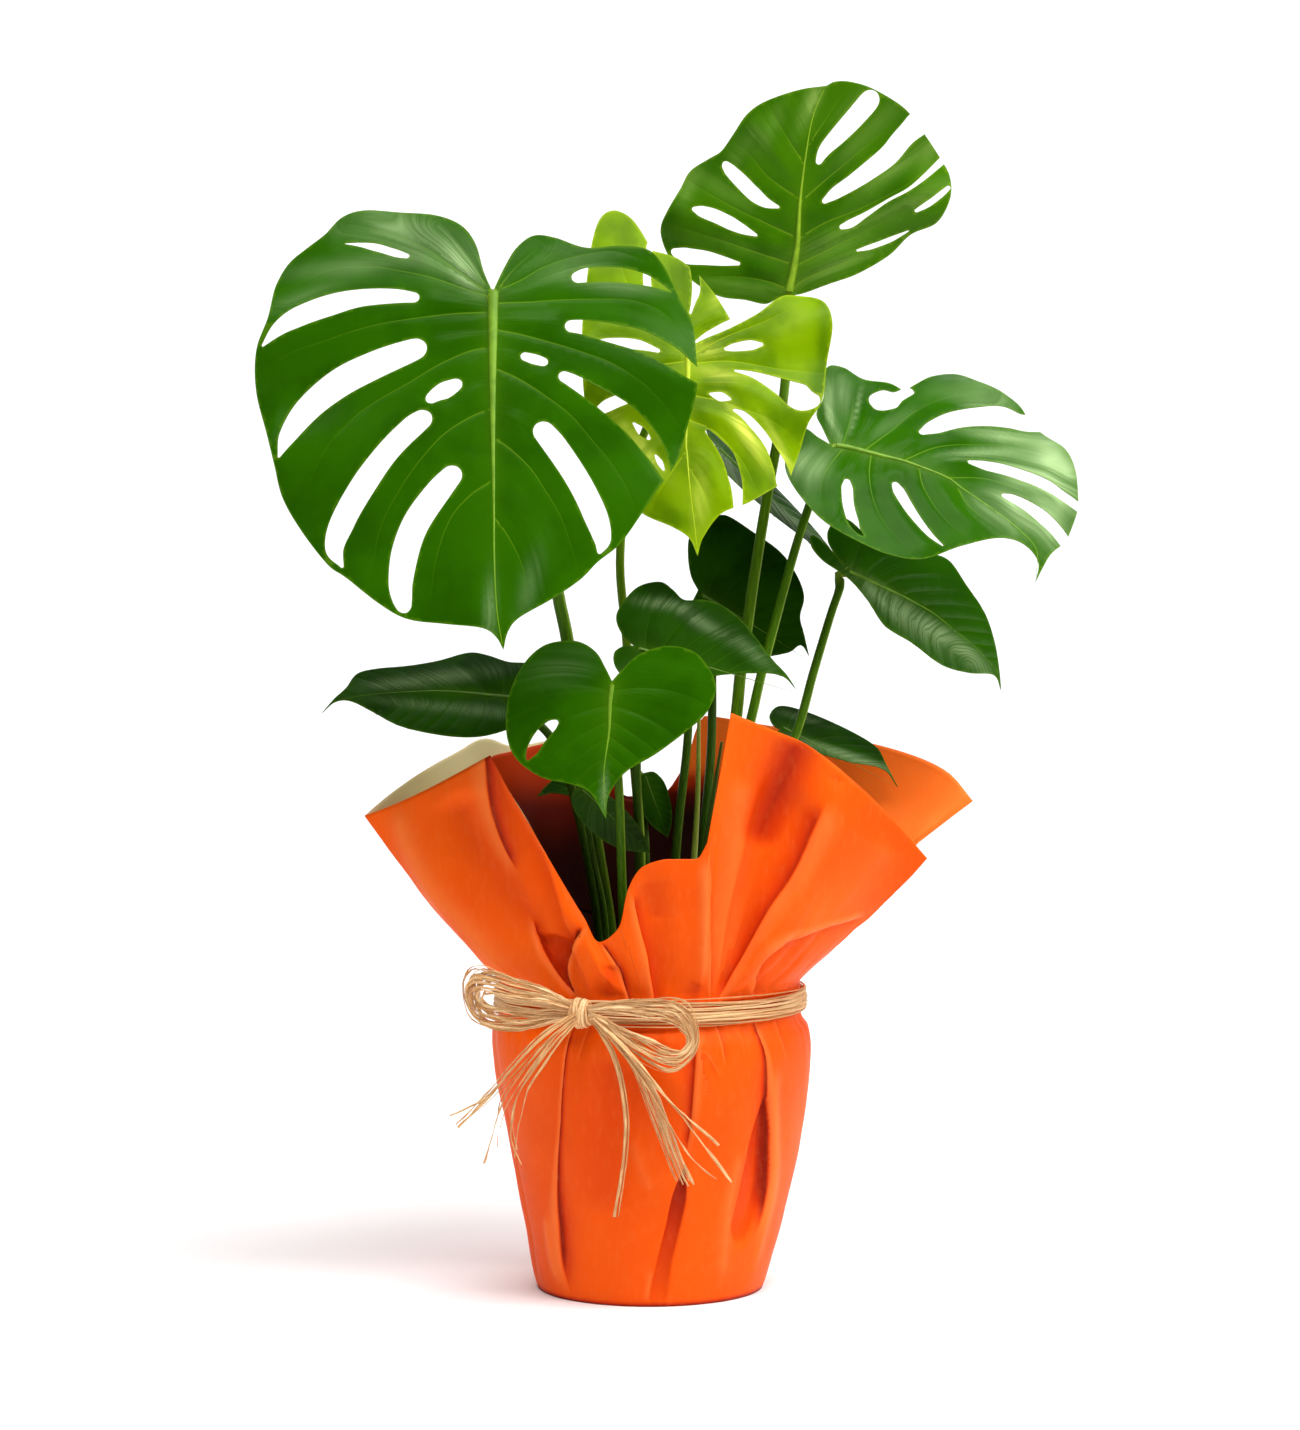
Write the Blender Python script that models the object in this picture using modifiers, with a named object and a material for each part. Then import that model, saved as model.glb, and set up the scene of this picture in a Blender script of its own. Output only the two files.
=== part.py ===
"""A swiss cheese plant (Monstera deliciosa) in its nursery pot, in an orange paper wrap tied with raffia.

Metres, +Z up. The origin is on the pot's axis, where the wrap's flat base stands. The front is -Y.
Leaf outlines and stalk routes are drawn as they look from the front, in drawing units, and each is
carried along the line of sight onto its own leaf's plane, at the depth that is given with it.
"""

import math

import bmesh
import bpy
from mathutils import Vector
from mathutils.geometry import delaunay_2d_cdt

# The front view that the outlines are drawn in
eye = Vector((0.0, -2.200, 0.430))
unit_at_axis = 0.00066
eye_level_unit = (650.0, 635.5)

# Driving dimensions
gap = 0.0003
pot_top_radius = 0.095
pot_foot_radius = 0.068
pot_height = 0.163
pot_wall = 0.0018
pot_lip = 0.010
pot_lip_step = 0.003
soil_top = 0.150
hole_sides = 10
stalk_sink = 0.012
stalk_upright = 0.014
paper = 0.0008
wrap_foot_radius = 0.0745
wrap_belly_radius = 0.1055
wrap_belly_height = 0.160
wrap_lean = 0.0028
neck_radius = 0.0995
neck_low = 0.180
neck_high = 0.203
band_height = 0.017
band_thickness = 0.003
band_groove = 0.0008
band_strands = 5
band_steps = 44
blade_thickness = 0.0009
outline_step = 0.0095
grid_step = 0.021
flat_centre = 0.004
bend_from = 0.020
bend_rounds = 6
stalk_points = 13


def clear_scene():
    for thing in list(bpy.data.objects):
        bpy.data.objects.remove(thing, do_unlink=True)


def new_collection(name):
    group = bpy.data.collections.new(name)
    bpy.context.scene.collection.children.link(group)
    return group


def make_material(name, colour, roughness, metallic=0.0):
    material = bpy.data.materials.new(name)
    material.use_nodes = True
    shader = material.node_tree.nodes["Principled BSDF"]
    shader.inputs["Base Color"].default_value = (*colour, 1.0)
    shader.inputs["Roughness"].default_value = roughness
    shader.inputs["Metallic"].default_value = metallic
    return material


def add_object(name, data, material, group):
    thing = bpy.data.objects.new(name, data)
    data.materials.clear()
    data.materials.append(material)
    group.objects.link(thing)
    return thing


def mesh_from(name, points, faces):
    mesh = bpy.data.meshes.new(name)
    mesh.from_pydata([tuple(p) for p in points], [], faces)
    mesh.validate()
    mesh.update()
    return mesh


def finish_mesh(name, work):
    """A mesh from a bmesh, with its faces turned outwards."""
    work.normal_update()
    bmesh.ops.recalc_face_normals(work, faces=work.faces)
    mesh = bpy.data.meshes.new(name)
    work.to_mesh(mesh)
    work.free()
    return mesh


# Drawing to space
def sight(unit_x, unit_z):
    """The line from the eye through a point of the drawing."""
    across = (unit_x - eye_level_unit[0]) * unit_at_axis
    up = (eye_level_unit[1] - unit_z) * unit_at_axis
    return Vector((across, -eye.y, up))


def at_depth(unit_x, unit_z, depth):
    line = sight(unit_x, unit_z)
    return eye + line * ((depth - eye.y) / line.y)


def on_plane(unit_x, unit_z, point, normal):
    line = sight(unit_x, unit_z)
    return eye + line * (normal.dot(point - eye) / normal.dot(line))


# Smooth lines
def between(a, b, c, d, t):
    """One Catmull-Rom step from b to c."""
    return 0.5 * (
        2 * b
        + (c - a) * t
        + (2 * a - 5 * b + 4 * c - d) * t * t
        + (3 * b - a - 3 * c + d) * t * t * t
    )


def smooth_line(points, step=None, count=None):
    """Points at even spacing along the smooth curve through the given ones, both ends kept."""
    points = [Vector(p) for p in points]
    ends = [2 * points[0] - points[1]] + points + [2 * points[-1] - points[-2]]
    fine = [points[0]]
    for i in range(len(points) - 1):
        for k in range(1, 13):
            fine.append(between(*ends[i : i + 4], k / 12))
    lengths = [0.0]
    for a, b in zip(fine, fine[1:]):
        lengths.append(lengths[-1] + (b - a).length)
    parts = count - 1 if count else max(1, round(lengths[-1] / step))
    result = []
    j = 0
    for i in range(parts + 1):
        wanted = lengths[-1] * i / parts
        while j < len(lengths) - 2 and lengths[j + 1] < wanted:
            j += 1
        share = (wanted - lengths[j]) / max(lengths[j + 1] - lengths[j], 1e-12)
        result.append(fine[j].lerp(fine[j + 1], min(max(share, 0.0), 1.0)))
    return result


def inside(point, loop):
    found = False
    previous = loop[-1]
    for corner in loop:
        if (corner[1] > point[1]) != (previous[1] > point[1]):
            share = (point[1] - previous[1]) / (corner[1] - previous[1])
            if point[0] < previous[0] + share * (corner[0] - previous[0]):
                found = not found
        previous = corner
    return found


def nearest(point, loops):
    """Squared distance from a point to the nearest segment of the loops."""
    best = 1.0
    for loop in loops:
        a = loop[-1]
        for b in loop:
            run = b - a
            share = (point - a).dot(run) / max(run.length_squared, 1e-14)
            away = (point - a - run * min(max(share, 0.0), 1.0)).length_squared
            best = min(best, away)
            a = b
    return best


# Leaves
def leaf_frame(leaf):
    base = at_depth(*leaf["attach"], leaf["depth"][0])
    tip = at_depth(*leaf["tip"], leaf["depth"][1])
    along = (tip - base).normalized()
    rough = Vector(leaf["facing"])
    face = (rough - along * rough.dot(along)).normalized()
    across = along.cross(face)
    return base, across, along, face, (tip - base).length


def half_width(leaf):
    if "heart" in leaf:
        return leaf["heart"]
    base, across, _, face, _ = leaf_frame(leaf)
    drawn = [point for arc in leaf["margin"] for point in arc]
    return max(abs((on_plane(*point, base, face) - base).dot(across)) for point in drawn)


def bend(leaf, size, across, along):
    """How far a point of the blade stands out of its plane, towards the upper face."""
    half, length = size
    u = across / half
    v = along / length
    height = leaf.get("fold", 0.0) * (math.hypot(u, 0.12) - 0.12)
    height += leaf.get("roll", 0.0) * u * u
    height -= leaf.get("droop", 0.0) * max(v, 0.0) ** 2
    height += leaf.get("lift", 0.0) * max(-v, 0.0) ** 2
    height += leaf.get("wave", 0.0) * math.sin(math.tau * (leaf.get("waves", 2) * v + 0.2)) * abs(u) * u
    share = (math.hypot(across, along) - flat_centre) / (bend_from - flat_centre)
    share = min(max(share, 0.0), 1.0)
    return height * share * share * (3 - 2 * share)


def flat_outline(leaf, points):
    """Drawn points as (across, along) on the leaf's own plane, so that the bent blade looks as drawn."""
    base, across, along, face, length = leaf_frame(leaf)
    half = half_width(leaf)
    flat = []
    for unit_x, unit_z in points:
        u, v, height = 0.0, 0.0, 0.0
        for _ in range(bend_rounds):
            away = on_plane(unit_x, unit_z, base + face * height, face) - base
            u, v = away.dot(across), away.dot(along)
            height = bend(leaf, (half, length), u, v)
        flat.append(Vector((u, v)))
    return flat


def cut_loop(centre, widths):
    """The closed outline of a slot, from its smooth centre line and its width at each drawn point."""
    line = smooth_line(centre, step=outline_step)
    last = len(line) - 1
    left = []
    right = []
    for i, point in enumerate(line):
        run = (line[min(i + 1, last)] - line[max(i - 1, 0)]).normalized()
        side = Vector((-run.y, run.x))
        place = i / last * (len(widths) - 1)
        k = min(int(place), len(widths) - 2)
        half = (widths[k] + (widths[k + 1] - widths[k]) * (place - k)) / 2
        left.append(point + side * half)
        right.append(point - side * half)
    start = line[0] - (line[1] - line[0]).normalized() * widths[0] * 0.45
    return [start] + left + right[::-1]


def heart_arcs(half, length):
    """Both sides of a plain heart-shaped blade, on its own plane."""
    side = [(0.0, -0.035), (0.22, -0.13), (0.60, -0.15), (0.90, -0.03), (1.0, 0.17), (0.88, 0.44),
            (0.55, 0.72), (0.20, 0.91), (0.0, 1.0)]
    right_side = [Vector((u * half, v * length)) for u, v in side]
    left_side = [Vector((-u * half, v * length)) for u, v in reversed(side)]
    return [right_side, left_side]


def margin_loop(leaf):
    if "heart" in leaf:
        arcs = heart_arcs(leaf["heart"], leaf_frame(leaf)[4])
    else:
        arcs = [flat_outline(leaf, arc) for arc in leaf["margin"]]
    loop = []
    for arc in arcs:
        loop += smooth_line(arc, step=outline_step)[:-1]
    return loop


def cut_loops(leaf):
    loops = []
    for cut in leaf.get("cuts", ()):
        centre = flat_outline(leaf, [c[:2] for c in cut])
        stretch = unit_at_axis * (1 + leaf["depth"][0] / -eye.y)
        loops.append(cut_loop(centre, [c[2] * stretch for c in cut]))
    return loops


def blade_sheet(leaf):
    """(points, triangles) of the blade's middle surface."""
    margin = margin_loop(leaf)
    cuts = cut_loops(leaf)
    base, across, along, face, length = leaf_frame(leaf)
    half = half_width(leaf)
    low = [min(p[i] for p in margin) for i in (0, 1)]
    high = [max(p[i] for p in margin) for i in (0, 1)]
    points = []
    edges = []
    for loop in [margin] + cuts:
        first = len(points)
        points += loop
        edges += [(first + i, first + (i + 1) % len(loop)) for i in range(len(loop))]
    rows = int((high[1] - low[1]) / (grid_step * 0.866)) + 1
    columns = int((high[0] - low[0]) / grid_step) + 2
    for row in range(rows):
        for column in range(columns):
            shift = 0.5 * (row % 2)
            place = Vector((low[0] + (column + shift) * grid_step, low[1] + row * grid_step * 0.866))
            if inside(place, margin) and not any(inside(place, cut) for cut in cuts):
                if nearest(place, [margin] + cuts) > (0.5 * grid_step) ** 2:
                    points.append(place)
    points.append(Vector((0.0, 0.0)))
    flat, _, triangles, *_ = delaunay_2d_cdt(points, edges, [], 0, 1e-6)
    kept = []
    for triangle in triangles:
        middle = sum((flat[i] for i in triangle), Vector((0.0, 0.0))) / 3
        if inside(middle, margin) and not any(inside(middle, cut) for cut in cuts):
            kept.append(list(triangle))
    used = sorted({i for triangle in kept for i in triangle})
    number = {old: new for new, old in enumerate(used)}
    faces = [[number[i] for i in triangle] for triangle in kept]
    space = []
    for i in used:
        u, v = flat[i]
        space.append(base + across * u + along * v + face * bend(leaf, (half, length), u, v))
    return space, faces


def make_blade(leaf, group):
    points, faces = blade_sheet(leaf)
    mesh = mesh_from(leaf["name"], points, faces)
    up = sum((p.normal * p.area for p in mesh.polygons), Vector())
    if up.dot(leaf_frame(leaf)[3]) < 0:
        mesh.flip_normals()
    blade = add_object("blade_" + leaf["name"], mesh, leaf_materials[leaf["green"]], group)
    wall = blade.modifiers.new("thickness", "SOLIDIFY")
    wall.thickness = blade_thickness
    wall.offset = 0.0
    mesh.shade_smooth()
    return blade


# Stalks
def stalk_route(leaf):
    """From the foot in the soil, past the drawn points, to just under the blade at its attachment."""
    foot_x, foot_y, _ = leaf["foot"]
    base, _, along, face, _ = leaf_frame(leaf)
    end = base - face * (blade_thickness / 2 + gap)
    elbow = leaf.get("elbow", 0.010)
    points = [Vector((foot_x, foot_y, soil_top + height)) for height in (-stalk_sink, stalk_upright)]
    points += [at_depth(*place) for place in leaf["route"]]
    points += [end - face * elbow - along * elbow * 0.3, end - face * 0.003, end]
    return points


def make_tube(name, points, start_radius, end_radius, material, group, sides_level=1):
    line = smooth_line(points[1:-2], count=stalk_points)
    line = [Vector(points[0])] + line + [Vector(points[-2]), Vector(points[-1])]
    curve = bpy.data.curves.new(name, "CURVE")
    curve.dimensions = "3D"
    curve.bevel_depth = start_radius
    curve.bevel_resolution = sides_level
    curve.use_fill_caps = True
    spline = curve.splines.new("POLY")
    spline.points.add(len(line) - 1)
    for i, (knot, place) in enumerate(zip(spline.points, line)):
        share = max(0.0, (i - 1) / (len(line) - 2))
        knot.co = (*place, 1.0)
        knot.radius = 1 + (end_radius / start_radius - 1) * share**0.8
    return add_object(name, curve, material, group)


def make_stalk(leaf, group):
    points = stalk_route(leaf)
    radius = leaf["foot"][2]
    end = leaf.get("neck", radius * 0.62)
    material = stalk_materials[leaf["green"]]
    return make_tube("petiole_" + leaf["name"], points, radius, end, material, group)


# Leaf outlines. A margin is a list of arcs that meet at its points. A cut is a list of
# (x, z, width) along the middle of a slot or a hole.
front_left = dict(
    name="front_left",
    green="deep",
    attach=(493.5, 300),
    tip=(503.5, 650),
    depth=(-0.092, -0.160),
    facing=(0.04, -0.93, 0.36),
    margin=[
        [(493, 293), (484, 272), (476, 245), (462, 227), (437, 217), (400, 214), (365, 212), (343, 219),
         (326, 236), (309, 249), (290, 265), (277, 287), (269, 318), (257, 352), (257, 392), (267, 433),
         (275, 466), (283, 498), (303, 533), (328, 565), (345, 577), (378, 603), (407, 619), (445, 624),
         (482, 628), (496, 637), (503.5, 650)],
        [(503.5, 650), (508, 632), (519, 618), (552, 599), (580, 580), (598, 562), (620, 544), (641, 515),
         (660, 486), (676, 463), (689, 421), (697, 388), (696, 355), (692, 324), (678, 297), (664, 268),
         (648, 251), (620, 247), (586, 249), (555, 239), (534, 237), (517, 249), (505, 268), (493, 293)],
    ],
    cuts=[
        [(409, 258, 3), (395, 254, 9), (378, 249, 9), (361, 246, 5), (346, 245, 1)],
        [(419, 300, 6), (395, 298, 15), (360, 299, 20), (330, 306, 24), (300, 317, 22), (280, 329, 15),
         (263, 347, 2)],
        [(427, 348, 8), (410, 352, 23), (375, 366, 29), (340, 384, 31), (310, 408, 29), (290, 434, 20),
         (279, 458, 2)],
        [(429, 400, 4), (437, 395, 14), (445, 391, 17), (453, 387, 14), (461, 383, 4)],
        [(429, 417, 12), (413, 427, 22), (388, 452, 23), (362, 488, 25), (343, 522, 25), (335, 548, 19),
         (343, 568, 2)],
        [(457, 472, 12), (438, 492, 24), (417, 522, 27), (406, 550, 27), (401, 580, 24), (403, 600, 17),
         (407, 612, 4)],
        [(573, 280, 6), (590, 276, 16), (620, 276, 16), (645, 281, 12), (662, 288, 5), (671, 293, 1)],
        [(566, 327, 6), (583, 328, 15), (612, 334, 22), (642, 342, 25), (668, 355, 24), (687, 369, 18),
         (708, 384, 11)],
        [(560, 376, 5), (572, 381, 12), (600, 398, 19), (627, 418, 24), (648, 441, 24), (661, 463, 17),
         (671, 488, 5)],
        [(541, 428, 12), (556, 447, 23), (578, 480, 24), (594, 512, 24), (602, 538, 18), (599, 554, 3)],
        [(522, 357, 3), (528, 358, 9), (535, 360, 11), (542, 362, 9), (547, 363, 3)],
    ],
    roll=-0.024,
    fold=0.004,
    droop=0.016,
    lift=-0.012,
    wave=0.005,
    waves=2.5,
    foot=(-0.024, -0.016, 0.0056),
    neck=0.0040,
    route=[(611, 940, -0.020), (598, 850, -0.024), (581, 730, -0.032), (568, 640, -0.040),
           (559, 596, -0.045), (543, 500, -0.056), (515, 390, -0.066)],
)

young = dict(
    name="young",
    green="fresh",
    attach=(688, 359),
    tip=(697.6, 556),
    depth=(-0.020, -0.068),
    facing=(0.10, -0.93, 0.35),
    margin=[
        [(689, 347), (703, 335), (718, 326), (730, 320)],
        [(730, 320), (715, 296), (697, 274)],
        [(697, 274), (676, 259), (652, 252)],
        [(652, 252), (640, 231), (629, 218), (614, 212), (601, 219), (593, 240), (587, 280), (582, 340),
         (584, 395), (596, 445), (622, 492), (643, 514), (672, 527), (689, 538), (697.6, 556)],
        [(697.6, 556), (703, 538), (721, 514), (748, 503), (773, 489)],
        [(773, 489), (790, 478)],
        [(790, 478), (800, 450), (808, 424), (822, 400), (827, 360), (832, 324), (822, 302), (797, 297),
         (780, 298), (758, 314), (730, 329), (706, 339), (689, 347)],
    ],
    cuts=[
        [(690, 315, 2), (693, 304, 4), (696, 291, 8), (695, 276, 8), (693, 266, 8)],
        [(655, 330, 3), (649, 300, 8), (647, 275, 8), (650, 244, 6)],
        [(724, 350, 3), (735, 348, 9), (750, 346, 11), (763, 345, 3)],
        [(734, 371, 2), (755, 376, 8), (780, 387, 20), (800, 397, 32), (812, 399, 22), (819, 397, 6)],
        [(733, 410, 3), (743, 415, 7), (756, 428, 9), (768, 444, 9), (780, 467, 14), (786, 490, 18)],
        [(709, 394, 2), (720, 397, 10), (731, 400, 2)],
        [(706, 430, 4), (718, 443, 9), (728, 457, 13), (734, 475, 13), (737, 490, 11), (738, 512, 8)],
        [(633, 423, 2), (642, 432, 9), (650, 440, 3)],
        [(655, 455, 2), (660, 463, 6), (664, 471, 2)],
        [(660, 352, 4), (635, 345, 12), (606, 345, 14), (590, 349, 6)],
        [(664, 395, 4), (640, 395, 10), (610, 405, 13), (592, 417, 5)],
    ],
    roll=-0.012,
    fold=0.010,
    droop=0.010,
    lift=-0.006,
    wave=0.005,
    foot=(-0.008, -0.002, 0.0040),
    neck=0.0029,
    route=[(641, 860, 0.000), (633, 740, 0.002), (627, 640, 0.003), (620.5, 560, 0.004), (630, 480, 0.006),
           (655, 410, 0.004)],
)

top = dict(
    name="top",
    green="bright",
    attach=(789, 287),
    tip=(826, 88),
    depth=(0.040, 0.022),
    facing=(-0.10, -0.95, 0.28),
    margin=[
        [(787, 296), (778, 299), (765, 305), (745, 301), (718, 297), (691, 281), (670, 259), (662, 241),
         (661, 227), (668, 211), (680, 191), (690, 173), (708, 161), (721, 153), (733, 136), (747, 116),
         (766, 103), (799, 92), (826, 88)],
        [(826, 88), (834, 84), (849, 84), (872, 91), (903, 110), (922, 134), (938, 158), (949, 179),
         (949, 201), (936, 224), (910, 236), (888, 257), (857, 275), (829, 285), (801, 295), (787, 296)],
    ],
    cuts=[
        [(779, 209, 2), (765, 204, 10), (753, 195, 14), (741, 183, 14), (730, 172, 12), (723, 164, 6)],
        [(692, 210, 3), (702, 213, 11), (714, 217, 13), (727, 223, 13), (741, 230, 10), (757, 237, 2)],
        [(671, 252, 5), (686, 257, 16), (705, 259, 14), (722, 262, 10), (740, 265, 3)],
        [(858, 251, 2), (875, 246, 5), (892, 240, 6), (918, 229, 8)],
        [(914, 213, 3), (928, 205, 6), (942, 195, 7), (960, 183, 9)],
        [(839, 229, 4), (850, 225, 8), (866, 215.5, 5), (888, 201.5, 2.5), (906, 192, 3), (922, 180, 5),
         (946, 158, 8)],
        [(822, 204, 4), (836, 194, 12), (852, 184, 15), (869, 172, 18), (888, 157, 20), (903, 139, 20),
         (925, 118, 28)],
        [(817, 166, 5), (824, 152, 12), (838, 137, 17), (852, 122, 19), (866, 107, 19), (874, 99, 8)],
    ],
    roll=-0.010,
    fold=0.010,
    droop=-0.004,
    lift=-0.004,
    wave=0.005,
    foot=(0.034, 0.002, 0.0056),
    neck=0.0033,
    route=[(726, 800, 0.010), (737, 715, 0.016), (741, 674, 0.020), (748, 625, 0.024), (755, 575, 0.028),
           (767, 500, 0.036), (781, 420, 0.044), (788, 350, 0.052)],
)

right = dict(
    name="right",
    green="deep",
    attach=(836, 448),
    tip=(1035, 583),
    depth=(0.020, -0.022),
    facing=(0.15, -0.76, 0.62),
    margin=[
        [(830, 445), (822, 428), (816, 414), (823, 398), (826, 369), (842, 368), (863, 380), (889, 384),
         (904, 392)],
        [(904, 392), (915, 385), (932, 377), (955, 375), (980, 383), (1006, 396), (1020, 408), (1030, 424)],
        [(1030, 424), (1047, 438), (1064, 449), (1075, 472), (1078, 505)],
        [(1078, 505), (1075, 518), (1066, 542)],
        [(1066, 542), (1051, 554), (1042, 569), (1035, 583)],
        [(1035, 583), (1038, 562), (1023, 544), (998, 538), (961, 546), (922, 559), (887, 554), (853, 539),
         (820, 518), (797, 492), (785, 468), (789, 446), (803, 429), (818, 438), (830, 445)],
    ],
    cuts=[
        [(875, 410, 12), (880, 403, 25), (888, 400, 26), (898, 397, 13), (912, 390, 11)],
        [(919, 434, 5), (935, 427, 18), (955, 420, 22), (980, 417, 23), (1005, 418, 25), (1024, 424, 22),
         (1046, 424, 27)],
        [(967, 462, 4), (985, 466, 13), (1004, 470, 16), (1023, 476, 17), (1043, 484, 16), (1062, 496, 13),
         (1088, 515, 13)],
        [(1001, 495, 5), (1013, 499, 12), (1028, 507, 15), (1043, 518, 18), (1057, 532, 17), (1070, 550, 15)],
        [(847, 479, 5), (847, 490, 12), (848, 504, 12), (852, 519, 12), (857, 530, 7), (863, 536, 2)],
        [(894, 482, 6), (899, 492, 13), (908, 507, 12), (918, 521, 10), (930, 535, 7), (943, 546, 2)],
    ],
    roll=-0.012,
    fold=0.006,
    droop=0.012,
    lift=-0.006,
    wave=0.005,
    foot=(0.048, -0.004, 0.0044),
    neck=0.0031,
    route=[(738, 800, 0.006), (756, 700, 0.012), (773, 632, 0.018), (791, 565, 0.026), (803, 525, 0.032),
           (817, 485, 0.036)],
)

right_low = dict(
    name="right_low",
    green="deep",
    attach=(849, 571),
    tip=(1001, 690),
    depth=(0.062, 0.070),
    facing=(0.25, -0.64, 0.72),
    margin=[
        [(843, 565), (833, 552), (824, 535), (822, 515), (830, 492), (852, 478), (885, 486), (918, 512),
         (949, 552), (966, 585), (984, 612), (994, 640), (999, 668), (1001, 690)],
        [(1001, 690), (994, 675), (970, 673), (942, 665), (912, 643), (885, 626), (868, 601), (852, 582),
         (838, 571), (822, 560), (811, 546), (812, 535), (826, 545), (843, 565)],
    ],
    roll=-0.006,
    fold=0.012,
    droop=0.004,
    foot=(0.049, 0.014, 0.0044),
    neck=0.0030,
    route=[(764, 800, 0.030), (796, 735, 0.040), (814, 672, 0.050), (831, 615, 0.058), (840, 588, 0.064)],
)

centre_back = dict(
    name="centre_back",
    green="dark",
    attach=(705, 597),
    tip=(809, 656),
    depth=(0.060, 0.058),
    facing=(0.08, -0.86, 0.50),
    margin=[
        [(698, 590), (691, 576), (688, 557), (689, 538), (697, 526), (712, 518), (727, 516), (754, 533),
         (781, 553), (797, 576), (804, 597), (800, 617), (804, 634), (809, 656)],
        [(809, 656), (801, 645), (790, 652), (772, 656), (752, 660), (728, 655), (706, 640), (692, 622),
         (691, 606), (698, 590)],
    ],
    roll=-0.010,
    fold=0.010,
    droop=0.006,
    foot=(0.013, 0.026, 0.0040),
    neck=0.0028,
    route=[(676, 860, 0.032), (688, 740, 0.044), (690, 660, 0.062), (694, 620, 0.072)],
)

centre = dict(
    name="centre",
    green="dark",
    attach=(643, 650),
    tip=(796, 689),
    depth=(-0.058, -0.062),
    facing=(0.08, -0.80, 0.60),
    margin=[
        [(634, 646), (622, 634), (616, 618), (622, 604), (638, 587), (660, 582), (673, 590), (684, 600),
         (704, 600), (722, 606), (742, 621), (756, 638), (772, 659), (786, 674), (796, 689)],
        [(796, 689), (782, 676), (756, 673), (715, 676), (690, 688), (660, 692), (632, 684), (616, 668),
         (614, 653), (624, 646), (634, 646)],
    ],
    roll=-0.008,
    fold=0.010,
    droop=0.004,
    foot=(-0.002, -0.024, 0.0040),
    neck=0.0029,
    route=[(640, 860, -0.026), (637, 760, -0.030), (639, 690, -0.036)],
)

heart = dict(
    name="heart",
    green="deep",
    attach=(612, 689),
    tip=(606, 819),
    depth=(-0.088, -0.108),
    facing=(0.0, -0.93, 0.36),
    margin=[
        [(612, 681), (605, 667), (596, 652), (580, 642), (562, 641), (543, 646), (526, 661), (512, 686),
         (506, 714), (508, 742), (519, 762), (543, 778), (570, 784), (590, 793), (606, 819)],
        [(606, 819), (609, 795), (626, 772), (656, 754), (688, 730), (707, 712), (716, 689), (710, 670),
         (694, 652), (668, 646), (640, 654), (622, 670), (612, 681)],
    ],
    cuts=[
        [(558, 721, 4), (551, 726, 11), (541, 736, 13), (533, 749, 12), (527, 760, 3)],
    ],
    roll=-0.008,
    fold=0.007,
    droop=0.006,
    lift=-0.004,
    foot=(-0.014, -0.034, 0.0038),
    neck=0.0028,
    route=[(623, 900, -0.060), (620, 800, -0.075), (616, 740, -0.080)],
)

left = dict(
    name="left",
    green="dark",
    attach=(504, 698),
    tip=(322, 713),
    depth=(-0.036, -0.050),
    facing=(-0.10, -0.60, 0.80),
    margin=[
        [(512, 697), (527, 690), (537, 675), (530, 664), (508, 662), (486, 655), (468, 653), (438, 661),
         (408, 666), (376, 669), (357, 674), (346, 688), (334, 699), (322, 713)],
        [(322, 713), (335, 702), (350, 701), (371, 711), (400, 726), (440, 735), (475, 737), (503, 731),
         (520, 722), (524, 710), (512, 697)],
    ],
    roll=-0.008,
    fold=0.008,
    droop=0.003,
    foot=(-0.037, -0.001, 0.0040),
    neck=0.0029,
    route=[(600, 940, 0.000), (580, 820, 0.000), (556, 745, -0.006), (525, 714, -0.018)],
)

back_right = dict(
    name="back_right",
    green="dark",
    attach=(722, 452),
    tip=(843, 566),
    depth=(0.088, 0.100),
    facing=(0.66, -0.24, 0.72),
    heart=0.046,
    roll=-0.004,
    fold=0.004,
    foot=(0.027, 0.031, 0.0040),
    neck=0.0028,
    route=[(702, 860, 0.045), (712, 740, 0.065), (712, 600, 0.095), (714, 510, 0.110), (717, 470, 0.104)],
)

rim_right = dict(
    name="rim_right",
    green="dark",
    attach=(786, 729),
    tip=(898, 787),
    depth=(0.066, 0.056),
    facing=(0.20, -0.40, 0.90),
    margin=[
        [(781, 730), (773, 725), (770, 714), (782, 706), (812, 714), (850, 731), (876, 747), (886, 764),
         (898, 787)],
        [(898, 787), (883, 769), (850, 762), (812, 751), (788, 743), (775, 739), (770, 734), (781, 730)],
    ],
    roll=-0.003,
    fold=0.006,
    foot=(0.040, 0.034, 0.0036),
    neck=0.0026,
    route=[(728, 860, 0.046), (752, 780, 0.062), (770, 748, 0.072)],
)

inner_low = dict(
    name="inner_low",
    green="dark",
    attach=(584, 791),
    tip=(650, 853),
    depth=(-0.044, -0.044),
    facing=(-0.10, -0.97, 0.22),
    margin=[
        [(579, 787), (572, 794), (573, 808), (584, 824), (602, 840), (624, 850), (650, 853)],
        [(650, 853), (645, 838), (634, 820), (618, 803), (602, 791), (590, 784), (579, 787)],
    ],
    roll=-0.002,
    fold=0.004,
    foot=(-0.029, -0.031, 0.0026),
    neck=0.0020,
    elbow=0.005,
    route=[(606, 930, -0.037), (594, 860, -0.038), (586, 815, -0.037)],
)

inner_left = dict(
    name="inner_left",
    green="dark",
    attach=(592, 782),
    tip=(537, 797),
    depth=(0.024, 0.020),
    facing=(0.10, -0.55, 0.83),
    margin=[
        [(600, 781), (596, 771), (580, 769), (560, 776), (546, 786), (537, 797)],
        [(537, 797), (552, 793), (572, 796), (590, 796), (602, 790), (600, 781)],
    ],
    foot=(-0.036, 0.016, 0.0026),
    neck=0.0020,
    route=[(598, 900, 0.022), (594, 830, 0.026)],
)

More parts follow.
